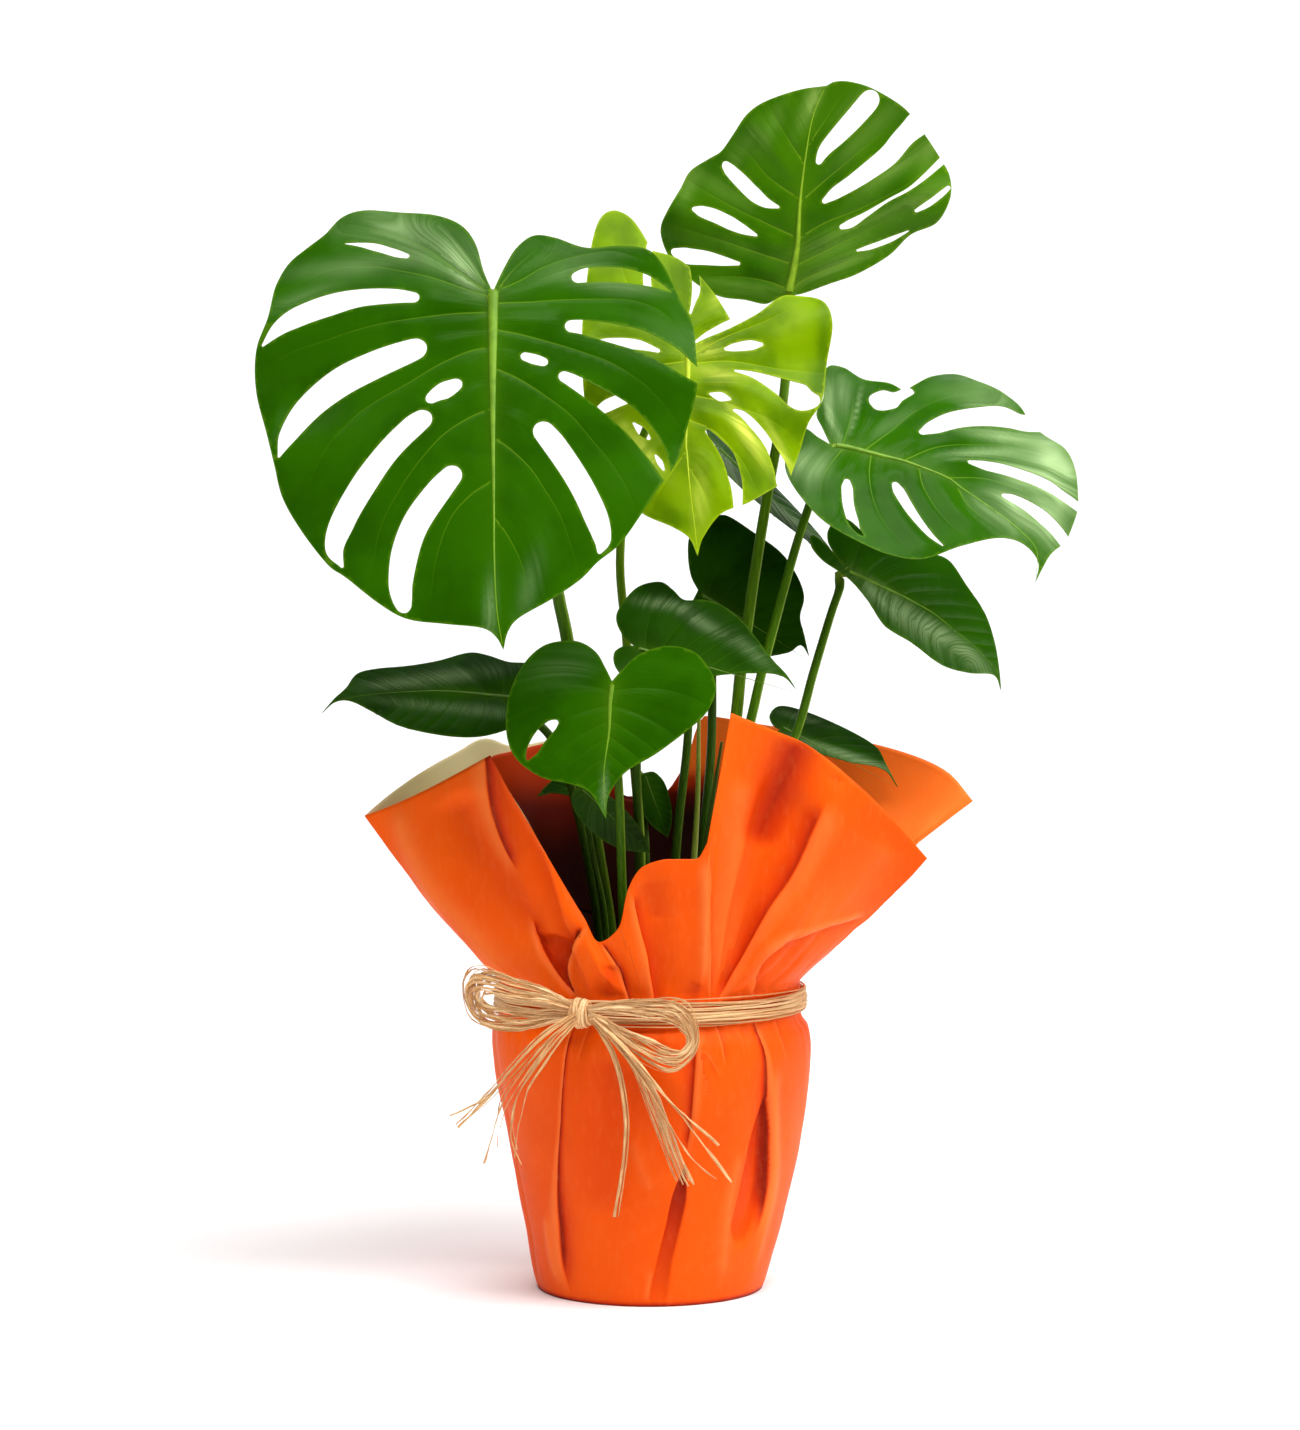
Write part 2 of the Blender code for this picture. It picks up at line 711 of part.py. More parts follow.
inner_back = dict(
    name="inner_back",
    green="dark",
    attach=(646, 778),
    tip=(668, 838),
    depth=(0.050, 0.044),
    facing=(0.30, -0.80, 0.50),
    margin=[
        [(644, 773), (637, 778), (634, 792), (640, 810), (652, 826), (668, 838)],
        [(668, 838), (672, 820), (670, 800), (664, 782), (654, 772), (644, 773)],
    ],
    foot=(0.000, 0.016, 0.0028),
    neck=0.0020,
    route=[(648, 900, 0.030), (646, 830, 0.046)],
)

leaves = [front_left, young, top, right, right_low, centre_back, centre, heart, left, back_right,
          rim_right, inner_low, inner_left, inner_back]

# Rolled young leaves: (name, foot x, foot y, foot radius, tip radius, route)
rolled = [
    ("rolled_leaf_pale", 0.022, -0.008, 0.0036, 0.0012,
     [(692, 900, 0.000), (698, 800, 0.004), (699, 730, 0.006), (700, 700, 0.006)]),
    ("rolled_leaf_dark", 0.034, -0.013, 0.0040, 0.0010,
     [(702, 900, -0.018), (706, 850, -0.024), (716, 780, -0.034), (722, 742, -0.040)]),
]

# Short main stems: (name, x, y, radius, height above the soil)
stems = [
    ("stem_a", 0.010, -0.006, 0.0070, 0.062),
    ("stem_b", 0.022, 0.013, 0.0065, 0.048),
    ("stem_c", -0.014, 0.026, 0.0060, 0.040),
]

# Wrap rim, going round from the right by the back: (neck angle in degrees, rim x, y, z, bulge)
wrap_rim = [
    (0, 0.128, 0.004, 0.258, 0.000),
    (14, 0.219, 0.060, 0.3175, -0.001),
    (20, 0.205, 0.075, 0.3355, 0.004),
    (27, 0.189, 0.088, 0.3445, 0.004),
    (36, 0.166, 0.101, 0.352, 0.002),
    (50, 0.120, 0.115, 0.362, -0.004),
    (64, 0.078, 0.120, 0.368, -0.008),
    (78, 0.038, 0.121, 0.374, 0.004),
    (86, 0.024, 0.121, 0.340, 0.006),
    (94, 0.006, 0.120, 0.318, 0.002),
    (104, -0.016, 0.117, 0.318, -0.004),
    (116, -0.040, 0.110, 0.348, 0.002),
    (124, -0.054, 0.105, 0.360, 0.004),
    (134, -0.074, 0.096, 0.357, 0.000),
    (143, -0.094, 0.083, 0.354, -0.004),
    (152, -0.112, 0.070, 0.360, 0.006),
    (162, -0.131, 0.053, 0.351, 0.004),
    (172, -0.154, 0.030, 0.338, 0.004),
    (184, -0.176, 0.002, 0.322, 0.002),
    (199, -0.187, -0.020, 0.312, 0.003),
    (206, -0.164, -0.031, 0.321, 0.010),
    (218, -0.130, -0.046, 0.338, 0.004),
    (229, -0.103, -0.060, 0.353, 0.000),
    (240, -0.084, -0.071, 0.320, -0.012),
    (250, -0.062, -0.083, 0.284, 0.006),
    (258, -0.042, -0.092, 0.252, 0.008),
    (263, -0.032, -0.096, 0.236, 0.000),
    (267, -0.019, -0.102, 0.247, 0.002),
    (271, -0.014, -0.105, 0.270, 0.002),
    (275, -0.004, -0.108, 0.285, -0.004),
    (280, 0.012, -0.110, 0.2895, 0.000),
    (286, 0.029, -0.110, 0.2895, 0.002),
    (289, 0.036, -0.111, 0.300, 0.004),
    (291.5, 0.051, -0.112, 0.3815, 0.000),
    (294, 0.075, -0.106, 0.3715, -0.004),
    (297, 0.096, -0.098, 0.3625, -0.016),
    (301, 0.120, -0.088, 0.346, 0.012),
    (316, 0.148, -0.075, 0.320, 0.006),
    (332, 0.164, -0.067, 0.303, 0.004),
    (347, 0.178, -0.060, 0.287, 0.002),
]
# Creases that run down the wrap's body: (angle at the foot, angle at the neck, depth, width in degrees)
pleats = [(238, 241, 0.0040, 5), (271, 287, 0.0045, 5), (307, 312, 0.0040, 5), (20, 12, 0.0035, 6),
          (62, 70, 0.0040, 6), (110, 104, 0.0035, 6), (150, 158, 0.0040, 6), (196, 190, 0.0035, 6)]
# The wrap's body: (height, radius)
wrap_profile = [(0.0, wrap_foot_radius), (0.006, wrap_foot_radius + 0.002), (0.055, 0.0875), (0.110, 0.099),
                (wrap_belly_height, wrap_belly_radius), (0.172, 0.1045), (neck_low + 0.001, neck_radius),
                (neck_high, neck_radius)]
widest_column = 11.0
flare_rows = 4


# Pot and soil
def turned(name, profile, steps, material, group):
    """A closed profile at +X, top to bottom on its outer side, turned about the pot's axis."""
    mesh = bpy.data.meshes.new(name)
    count = len(profile)
    mesh.from_pydata([(r, 0.0, z) for r, z in profile], [(i, i + 1) for i in range(count - 1)], [])
    thing = add_object(name, mesh, material, group)
    screw = thing.modifiers.new("turn", "SCREW")
    screw.steps = steps
    screw.render_steps = steps
    screw.use_merge_vertices = True
    screw.merge_threshold = 0.00001
    return thing


def make_pot(group):
    foot = paper + gap
    top = foot + pot_height
    under_lip = pot_top_radius - pot_lip_step
    profile = [
        (0.0, foot + pot_wall),
        (pot_foot_radius - pot_wall, foot + pot_wall),
        (under_lip - pot_wall, top - pot_lip),
        (pot_top_radius - pot_wall, top),
        (pot_top_radius, top),
        (pot_top_radius, top - pot_lip),
        (under_lip, top - pot_lip - 0.001),
        (pot_foot_radius, foot),
        (0.0, foot),
    ]
    return turned("nursery_pot", profile, 32, materials["pot"], group)


def soil_holes():
    holes = [leaf["foot"] for leaf in leaves]
    holes += [(x, y, radius) for _, x, y, radius, _, _ in rolled]
    holes += [(x, y, radius) for _, x, y, radius, _ in stems]
    return holes


def make_soil(group, cutters):
    foot = paper + gap + pot_wall + gap
    slope = (pot_top_radius - pot_lip_step - pot_foot_radius) / (pot_height - pot_lip)

    def wall(height):
        return pot_foot_radius - pot_wall - gap + slope * (height - foot)

    profile = [
        (0.0, soil_top + 0.003),
        (0.060, soil_top + 0.001),
        (wall(soil_top) - 0.004, soil_top),
        (wall(soil_top) - 0.0005, soil_top - 0.004),
        (wall(foot) - 0.0005, foot),
        (0.0, foot),
    ]
    soil = turned("soil", profile, 28, materials["soil"], group)
    work = bmesh.new()
    depth = 0.040
    for x, y, radius in soil_holes():
        wide = (radius + gap) / math.cos(math.pi / hole_sides)
        before = set(work.verts)
        bmesh.ops.create_cone(
            work, cap_ends=True, segments=hole_sides, radius1=wide, radius2=wide, depth=depth
        )
        for vertex in set(work.verts) - before:
            vertex.co += Vector((x, y, soil_top - stalk_sink - gap + depth / 2))
    cutter = add_object("soil_holes", finish_mesh("soil_holes", work), materials["soil"], cutters)
    cutter.hide_render = True
    cutter.display_type = "WIRE"
    cut = soil.modifiers.new("holes", "BOOLEAN")
    cut.operation = "DIFFERENCE"
    cut.object = cutter
    return soil


# Paper wrap
def pleat_depth(angle, height):
    total = 0.0
    share = min(height / neck_low, 1.0)
    for foot_angle, neck_angle, depth, width in pleats:
        middle = foot_angle + (neck_angle - foot_angle) * share
        away = (angle - middle + 180) % 360 - 180
        total += depth * math.exp(-((away / width) ** 2)) * math.sin(math.pi * min(share, 1.0)) ** 0.5
    return total


def wrap_columns():
    """Evenly filled columns: (neck angle, rim point, bulge)."""
    columns = []
    closed = wrap_rim + [(wrap_rim[0][0] + 360, *wrap_rim[0][1:])]
    for first, second in zip(closed, closed[1:]):
        parts = max(1, math.ceil((second[0] - first[0]) / widest_column))
        for i in range(parts):
            share = i / parts
            values = [a + (b - a) * share for a, b in zip(first, second)]
            columns.append((values[0], Vector(values[1:4]), values[4]))
    return columns


def wrap_column(angle, rim, bulge):
    turn = math.radians(angle)
    out = Vector((math.cos(turn), math.sin(turn), 0.0))
    points = []
    for height, radius in wrap_profile:
        swell = wrap_lean * math.cos(turn) * math.sin(math.pi * min(height / neck_low, 1.0))
        points.append(out * (radius + swell - pleat_depth(angle, height)) + Vector((0.0, 0.0, height)))
    start = points[-1]
    outward = Vector((rim.x, rim.y, 0.0)).normalized()
    slant = (outward + Vector((0.0, 0.0, -0.5))).normalized()
    middle = (start + rim) / 2 + slant * bulge * 2
    for i in range(1, flare_rows + 1):
        t = i / flare_rows
        points.append(start * (1 - t) ** 2 + middle * 2 * t * (1 - t) + rim * t * t)
    return points


def make_wrap(group):
    columns = [wrap_column(*column) for column in wrap_columns()]
    rows = len(columns[0])
    count = len(columns)
    points = [point for column in columns for point in column]
    points.append(Vector((0.0, 0.0, 0.0)))
    faces = []
    for i in range(count):
        following = (i + 1) % count
        for j in range(rows - 1):
            a, b = i * rows + j, following * rows + j
            faces.append([a, b, b + 1])
            faces.append([a, b + 1, a + 1])
        faces.append([len(points) - 1, following * rows, i * rows])
    mesh = mesh_from("paper_wrap", points, faces)
    wrap = add_object("paper_wrap", mesh, materials["paper"], group)
    wall = wrap.modifiers.new("thickness", "SOLIDIFY")
    wall.thickness = paper
    wall.offset = -1.0
    return wrap


# Raffia
band_middle = (neck_low + neck_high) / 2
band_radius = neck_radius + gap + band_thickness
knot_angle = math.radians(246.6)
knot_out = Vector((math.cos(knot_angle), math.sin(knot_angle), 0.0))
knot_side = Vector((-knot_out.y, knot_out.x, 0.0))
knot_size = (0.0075, 0.0065, 0.0085)
knot_ridge = 0.05
knot_place = knot_out * (band_radius + gap + knot_size[1]) + Vector((0.0, 0.0, band_middle))


def make_band(group):
    """The strands round the neck, as one ring with a low ridge for each."""
    low = band_middle - band_height / 2
    rows = 2 * band_strands
    profile = []
    for i in range(rows, -1, -1):
        ridge = 0.0 if i % 2 else band_groove
        profile.append((band_radius - ridge, low + band_height * i / rows))
    profile.append((neck_radius + gap, low))
    profile.append((neck_radius + gap, low + band_height))
    work = bmesh.new()
    rings = []
    for k in range(band_steps):
        turn = math.tau * k / band_steps
        rings.append([work.verts.new((r * math.cos(turn), r * math.sin(turn), z)) for r, z in profile])
    for k in range(band_steps):
        a, b = rings[k], rings[(k + 1) % band_steps]
        for j in range(len(profile)):
            following = (j + 1) % len(profile)
            work.faces.new([a[j], a[following], b[following], b[j]])
    return add_object("raffia_band", finish_mesh("raffia_band", work), materials["raffia"], group)


def knot_point(local):
    """A point of the knot's ridged surface, from the same point of a unit ball."""
    ridge = 1 + knot_ridge * math.cos(7 * math.atan2(local.z, local.x))
    place = knot_side * local.x * knot_size[0] * ridge + knot_out * local.y * knot_size[1]
    return knot_place + place + Vector((0.0, 0.0, local.z * knot_size[2] * ridge))


def make_knot(group):
    work = bmesh.new()
    bmesh.ops.create_uvsphere(work, u_segments=14, v_segments=10, radius=1.0)
    for vertex in work.verts:
        vertex.co = knot_point(vertex.co.copy())
    return add_object("raffia_knot", finish_mesh("raffia_knot", work), materials["raffia"], group)


def ribbon(name, points, width_axis, width, thickness, closed):
    """A flat strand along a line, four corners at each point. An open one narrows towards its end."""
    work = bmesh.new()
    count = len(points)
    rings = []
    for i, place in enumerate(points):
        before = points[i - 1] if closed or i else points[i]
        after = points[(i + 1) % count] if closed or i < count - 1 else points[i]
        run = (after - before).normalized()
        side = (width_axis - run * width_axis.dot(run)).normalized()
        up = run.cross(side)
        share = 1.0 if closed else 1 - 0.35 * i / (count - 1)
        corners = ((1, 1), (-1, 1), (-1, -1), (1, -1))
        rings.append([work.verts.new(place + side * width * share * a / 2 + up * thickness * b / 2)
                      for a, b in corners])
    for i in range(count if closed else count - 1):
        a, b = rings[i], rings[(i + 1) % count]
        for j in range(4):
            work.faces.new([a[j], a[(j + 1) % 4], b[(j + 1) % 4], b[j]])
    if not closed:
        work.faces.new(rings[0])
        work.faces.new(rings[-1])
    return finish_mesh(name, work)


# Loops of the bow seen from the front: (name, direction of the strand's width, route as (x, z, depth))
loops = [
    ("raffia_loop_left", Vector((-0.4, -0.9, 0.0)), [
        (567, 1010, -0.098), (549, 993, -0.100), (515, 977, -0.100), (485, 969, -0.098), (469, 979, -0.095),
        (465, 1002, -0.093), (482, 1023, -0.095), (515, 1027, -0.099), (549, 1019, -0.100),
        (567, 1014, -0.098)]),
    ("raffia_loop_right", Vector((0.0, -1.0, 0.0)), [
        (594.6, 1010, -0.106), (625, 1003, -0.111), (660, 1005, -0.114), (682, 1017, -0.115),
        (694, 1036, -0.115), (694, 1055, -0.115), (680, 1066, -0.115), (656, 1060, -0.115),
        (628, 1042, -0.114), (606, 1023, -0.110), (594.6, 1014, -0.106)]),
]
# Loose ends of the bow: (name, degrees from straight down where it leaves the knot, route as (x, z, depth))
tails = [
    ("raffia_tail_a", -62, [(557, 1033, -0.108), (540, 1045, -0.113), (514, 1063, -0.111),
                            (489, 1091, -0.106), (457, 1129, -0.100)]),
    ("raffia_tail_b", -37, [(562, 1041, -0.110), (538, 1062, -0.115), (508, 1103, -0.110),
                            (492, 1136, -0.106), (484, 1166, -0.103)]),
    ("raffia_tail_c", -12, [(570, 1047, -0.111), (548, 1072, -0.116), (523, 1112, -0.112),
                            (517, 1140, -0.108), (517, 1166, -0.105)]),
    ("raffia_tail_d", 13, [(592, 1046, -0.110), (607, 1064, -0.115), (622, 1097, -0.112),
                           (627, 1150, -0.107), (616, 1220, -0.098)]),
    ("raffia_tail_e", 37, [(602, 1045, -0.112), (621, 1071, -0.117), (647, 1117, -0.114),
                           (668, 1160, -0.109), (684, 1192, -0.105)]),
    ("raffia_tail_f", 62, [(609, 1042, -0.114), (635, 1073, -0.121), (674, 1120, -0.121),
                           (696, 1138, -0.116), (718, 1152, -0.112)]),
]
loop_strand = (0.0075, 0.0030)
tail_strand = (0.0026, 0.0012)


def make_loops(group):
    for name, width_axis, route in loops:
        points = smooth_line([at_depth(*place) for place in route], count=22)
        mesh = ribbon(name, points, width_axis, *loop_strand, closed=True)
        add_object(name, mesh, materials["raffia"], group)


def make_tails(group):
    for name, degrees, route in tails:
        turn = math.radians(degrees)
        start = knot_point(Vector((math.sin(turn), 0.0, -math.cos(turn))))
        leaving = (start - knot_place).normalized()
        clear = gap + tail_strand[1] * 0.7
        points = [start + leaving * clear, start + leaving * 0.003] + [at_depth(*place) for place in route]
        points = smooth_line(points, count=13)
        mesh = ribbon(name, points, knot_side, *tail_strand, closed=False)
        add_object(name, mesh, materials["raffia"], group)


# Stems and rolled leaves
def make_stems(group):
    """Short ringed stems, each ring the scar of an old leaf."""
    for name, x, y, radius, height in stems:
        top = soil_top + height
        low = soil_top - stalk_sink
        profile = [(0.0, top), (radius * 0.55, top - 0.002)]
        rings = max(2, round(height / 0.016))
        for i in range(rings):
            scar = top - 0.008 - (height - 0.012) * i / rings
            profile.append((radius * 0.80, scar + 0.002))
            profile.append((radius * 0.98, scar))
        profile.append((radius, low))
        profile.append((0.0, low))
        stem = turned(name, profile, 10, materials["stem"], group)
        stem.location = (x, y, 0.0)


def make_rolled(group):
    for name, x, y, radius, tip_radius, route in rolled:
        points = [Vector((x, y, soil_top + height)) for height in (-stalk_sink, stalk_upright)]
        points += [at_depth(*place) for place in route]
        make_tube(name, points, radius, tip_radius, materials["sheath"], group)


clear_scene()
plant_group = new_collection("potted_swiss_cheese_plant")
cutter_group = new_collection("cutters")
cutter_group.hide_render = True

materials = {
    "pot": make_material("pot_plastic", (0.020, 0.018, 0.016), 0.55),
    "soil": make_material("potting_soil", (0.035, 0.020, 0.012), 0.95),
    "paper": make_material("orange_paper", (0.91, 0.115, 0.008), 0.55),
    "raffia": make_material("raffia", (0.75, 0.43, 0.17), 0.70),
    "stem": make_material("stem_bark", (0.10, 0.14, 0.04), 0.70),
    "sheath": make_material("leaf_sheath", (0.30, 0.42, 0.14), 0.50),
}
leaf_materials = {
    "deep": make_material("leaf_deep_green", (0.030, 0.105, 0.008), 0.38),
    "dark": make_material("leaf_dark_green", (0.014, 0.060, 0.006), 0.38),
    "bright": make_material("leaf_bright_green", (0.045, 0.160, 0.010), 0.38),
    "fresh": make_material("leaf_fresh_green", (0.380, 0.560, 0.006), 0.38),
}
stalk_materials = {
    "deep": make_material("stalk_green", (0.060, 0.130, 0.015), 0.45),
    "dark": make_material("stalk_dark_green", (0.030, 0.080, 0.010), 0.45),
    "bright": make_material("stalk_bright_green", (0.070, 0.140, 0.015), 0.45),
    "fresh": make_material("stalk_fresh_green", (0.120, 0.220, 0.020), 0.45),
}

make_pot(plant_group)
make_soil(plant_group, cutter_group)
make_wrap(plant_group)
make_band(plant_group)
make_knot(plant_group)
make_loops(plant_group)
make_tails(plant_group)
make_stems(plant_group)
make_rolled(plant_group)
for one_leaf in leaves:
    make_blade(one_leaf, plant_group)
    make_stalk(one_leaf, plant_group)
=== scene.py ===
# Looks for the potted swiss cheese plant: leaves, stalks, soil, paper wrap, raffia bow, studio.
# Metres, +Z up, front towards -Y. Outlines are drawn as seen from the front, in drawing units.
import math

import bpy
import numpy as np
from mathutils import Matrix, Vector
from mathutils.geometry import delaunay_2d_cdt


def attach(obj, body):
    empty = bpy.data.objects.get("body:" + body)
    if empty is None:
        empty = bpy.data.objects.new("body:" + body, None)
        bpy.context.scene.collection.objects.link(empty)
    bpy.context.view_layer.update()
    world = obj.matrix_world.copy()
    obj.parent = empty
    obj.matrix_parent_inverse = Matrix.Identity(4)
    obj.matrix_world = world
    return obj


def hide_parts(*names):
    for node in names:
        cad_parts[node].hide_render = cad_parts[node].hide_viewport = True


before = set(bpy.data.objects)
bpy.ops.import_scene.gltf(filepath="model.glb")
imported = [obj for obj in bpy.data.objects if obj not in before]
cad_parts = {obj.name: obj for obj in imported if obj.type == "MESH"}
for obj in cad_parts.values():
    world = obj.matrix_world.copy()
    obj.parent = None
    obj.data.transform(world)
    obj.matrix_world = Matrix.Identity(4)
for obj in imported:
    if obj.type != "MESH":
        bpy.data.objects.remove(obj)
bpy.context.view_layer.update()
print("frame loaded:", len(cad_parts), "nodes")

studio = {
    "eye": (0.0, -2.2, 0.43),  # where the camera stands
    "unitAtAxis": 0.00066,  # size of a drawing unit at the pot's axis
    "levelUnit": (650.0, 635.5),  # the drawing unit at the camera's height, over the pot's axis
    "imageHeight": 1430,
    "imageMiddle": 715.0,
    "sensor": 36.0,
    "focal": 3333.0,  # in drawing units
}
eye = np.array(studio["eye"])


def rgb(red, green, blue):  # screen colour to scene colour
    return tuple(((c / 255 + 0.055) / 1.055) ** 2.4 if c > 10 else c / 3294.6 for c in (red, green, blue))


# Node trees
class Link:
    # a node's output that takes part in sums
    def __init__(self, graph, socket):
        self.graph = graph
        self.socket = socket

    def __add__(self, other):
        return self.graph.maths("ADD", self, other)

    def __sub__(self, other):
        return self.graph.maths("SUBTRACT", self, other)

    def __rsub__(self, other):
        return self.graph.maths("SUBTRACT", other, self)

    def __mul__(self, other):
        return self.graph.maths("MULTIPLY", self, other)

    def __truediv__(self, other):
        return self.graph.maths("DIVIDE", self, other)

    def __pow__(self, other):
        return self.graph.maths("POWER", self, other)

    __radd__ = __add__
    __rmul__ = __mul__

    def other(self, name):  # another output of the same node
        return Link(self.graph, self.socket.node.outputs[name])


class Graph:
    def __init__(self, tree):
        self.tree = tree

    def add(self, kind, settings=None, inputs=None, out=0):
        node = self.tree.nodes.new(kind)
        for key, value in (settings or {}).items():
            setattr(node, key, value)
        for key, value in (inputs or {}).items():
            self.feed(node.inputs[key], value)
        return Link(self, node.outputs[out])

    def feed(self, socket, value):
        if isinstance(value, Link):
            self.tree.links.new(value.socket, socket)
        elif socket.type == "RGBA" and len(value) == 3:
            socket.default_value = (*value, 1.0)
        else:
            socket.default_value = value

    def maths(self, operation, *values):
        return self.add("ShaderNodeMath", {"operation": operation}, dict(enumerate(values)))

    def vector(self, operation, first, second):  # SCALE takes a number second
        inputs = {0: first, "Scale" if operation == "SCALE" else 1: second}
        return self.add("ShaderNodeVectorMath", {"operation": operation}, inputs)

    def combine(self, x, y, z):
        return self.add("ShaderNodeCombineXYZ", {}, {0: x, 1: y, 2: z})

    def step(self, value, low, high):  # 0 below low, 1 above high, smooth between
        settings = {"interpolation_type": "SMOOTHSTEP"}
        return self.add("ShaderNodeMapRange", settings, {"Value": value, "From Min": low, "From Max": high})

    def attribute(self, name):
        return self.add("ShaderNodeAttribute", {"attribute_name": name}, out="Fac")


class Finish(Graph):
    # a material whose surface is one Principled shader
    def __init__(self, name, **values):
        self.material = bpy.data.materials.new(name)
        self.material.use_nodes = True
        super().__init__(self.material.node_tree)
        self.shader = self.tree.nodes["Principled BSDF"]
        self.set(**values)

    def set(self, **values):  # Base_Color=... sets or links the socket Base Color
        for key, value in values.items():
            self.feed(self.shader.inputs[key.replace("_", " ")], value)

    def place(self, scale=(1.0, 1.0, 1.0)):
        point = self.add("ShaderNodeTexCoord", out="Object")
        return self.add("ShaderNodeMapping", {}, {"Vector": point, "Scale": scale})

    def noise(self, scale, detail=2.0, stretch=(1.0, 1.0, 1.0), vector=None):
        spot = vector or self.place(stretch)
        inputs = {"Vector": spot, "Scale": scale, "Detail": detail}
        return self.add("ShaderNodeTexNoise", {}, inputs, out="Fac")

    def mix(self, factor, first, second):
        return self.add("ShaderNodeMix", {"data_type": "RGBA"}, {0: factor, 6: first, 7: second}, out=2)

    def bump(self, height, distance, strength=1.0):
        inputs = {"Height": height, "Distance": distance, "Strength": strength}
        self.set(Normal=self.add("ShaderNodeBump", {}, inputs, out="Normal"))


class Recipe(Graph):
    # a Geometry Nodes tree with named inputs
    def __init__(self, name, **sizes):
        super().__init__(bpy.data.node_groups.new(name, "GeometryNodeTree"))
        kinds = {int: "NodeSocketInt", float: "NodeSocketFloat", type(None): "NodeSocketMaterial"}
        self.tree.interface.new_socket("Geometry", in_out="INPUT", socket_type="NodeSocketGeometry")
        for key, value in sizes.items():
            socket = self.tree.interface.new_socket(key, in_out="INPUT", socket_type=kinds[type(value)])
            if value is not None:
                socket.default_value = value
        self.tree.interface.new_socket("Geometry", in_out="OUTPUT", socket_type="NodeSocketGeometry")
        self.start = self.add("NodeGroupInput")

    def size(self, name):
        return self.start.other(name)

    def named(self, name, kind="FLOAT"):
        settings = {"data_type": kind}
        return self.add("GeometryNodeInputNamedAttribute", settings, {"Name": name}, out="Attribute")

    def store(self, geometry, name, value, kind="FLOAT", domain="POINT"):
        settings = {"data_type": kind, "domain": domain}
        inputs = {"Geometry": geometry, "Name": name, "Value": value}
        return self.add("GeometryNodeStoreNamedAttribute", settings, inputs)

    def tube(self, curve, sides, flat, thick, groove=None):  # a smooth tube of oval section along each curve
        inputs = {"Resolution": sides, "Radius": 1.0}
        ring = self.add("GeometryNodeCurvePrimitiveCircle", {}, inputs)
        share = self.add("GeometryNodeSplineParameter")
        ring = self.store(ring, "around", share)
        point = self.add("GeometryNodeInputPosition")
        if groove:
            dent = self.maths("MAXIMUM", self.maths("COSINE", share * math.tau), 0.0) ** 6.0
            point = self.vector("SCALE", point, 1.0 - dent * groove)
        point = self.vector("MULTIPLY", point, self.combine(1.0, flat, 1.0))
        ring = self.add("GeometryNodeSetPosition", {}, {"Geometry": ring, "Position": point})
        inputs = {"Curve": curve, "Profile Curve": ring, "Scale": thick, "Fill Caps": True}
        whole = self.add("GeometryNodeCurveToMesh", {}, inputs)
        return self.add("GeometryNodeSetShadeSmooth", {}, {"Geometry": whole})

    def end(self, geometry):  # real geometry with its material
        whole = self.add("GeometryNodeRealizeInstances", {}, {"Geometry": geometry})
        inputs = {"Geometry": whole, "Material": self.size("Material")}
        dressed = self.add("GeometryNodeSetMaterial", {}, inputs)
        last = self.tree.nodes.new("NodeGroupOutput")
        self.tree.links.new(dressed.socket, last.inputs["Geometry"])

    def run(self, source, name, **values):  # the source's evaluated result as a plain mesh
        modifier = source.modifiers.new(name, "NODES")
        modifier.node_group = self.tree
        for socket in self.tree.interface.items_tree:
            if socket.in_out == "INPUT" and socket.name in values:
                modifier[socket.identifier] = values[socket.name]
        return settled(source, modifier, name)


def settled(source, modifier, name):  # what the modifier makes, as a piece of its own
    mesh = bpy.data.meshes.new_from_object(source.evaluated_get(bpy.context.evaluated_depsgraph_get()))
    source.modifiers.remove(modifier)
    bpy.data.objects.remove(source)
    return addPiece(name, mesh)


def walled(sheet, name, thickness, offset, inside=0):  # inside: how many materials further its inner face is
    wall = sheet.modifiers.new("wall", "SOLIDIFY")
    wall.thickness = thickness
    wall.offset = offset
    wall.material_offset = inside
    return settled(sheet, wall, name)


def addPiece(name, mesh):
    mesh.name = name
    piece = bpy.data.objects.new(name, mesh)
    bpy.context.scene.collection.objects.link(piece)
    return piece


def meshOf(name, points, edges=(), faces=(), **attributes):
    mesh = bpy.data.meshes.new(name)
    mesh.from_pydata([tuple(p) for p in points], [tuple(e) for e in edges], [tuple(f) for f in faces])
    for key, values in attributes.items():
        layer = mesh.attributes.new(key, "FLOAT", "POINT")
        layer.data.foreach_set("value", np.asarray(values, np.float32))
    return mesh


def guideLines(lines, **attributes):  # open or closed lines as loose edges, to be swept by a recipe
    points = []
    edges = []
    for line, closed in lines:
        first = len(points)
        points += list(line)
        count = len(line)
        edges += [(first + i, first + (i + 1) % count) for i in range(count if closed else count - 1)]
    return addPiece("guides", meshOf("guides", points, edges, **attributes))


def seat(piece, *nodes, slot=None):
    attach(piece, "root")
    if nodes:
        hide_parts(*nodes)
    return piece


# From the drawing to space
def sightLine(units):
    units = np.atleast_2d(np.asarray(units, float))
    across = (units[:, 0] - studio["levelUnit"][0]) * studio["unitAtAxis"]
    up = (studio["levelUnit"][1] - units[:, 1]) * studio["unitAtAxis"]
    return np.stack([across, np.full(len(units), -eye[1]), up], 1)


def atDepth(drawn):  # (x, z, depth) rows to points
    drawn = np.atleast_2d(np.asarray(drawn, float))
    lines = sightLine(drawn[:, :2])
    return eye + lines * ((drawn[:, 2] - eye[1]) / lines[:, 1])[:, None]


def onPlane(units, points, normal):
    lines = sightLine(units)
    return eye + lines * (((points - eye) @ normal) / (lines @ normal))[:, None]


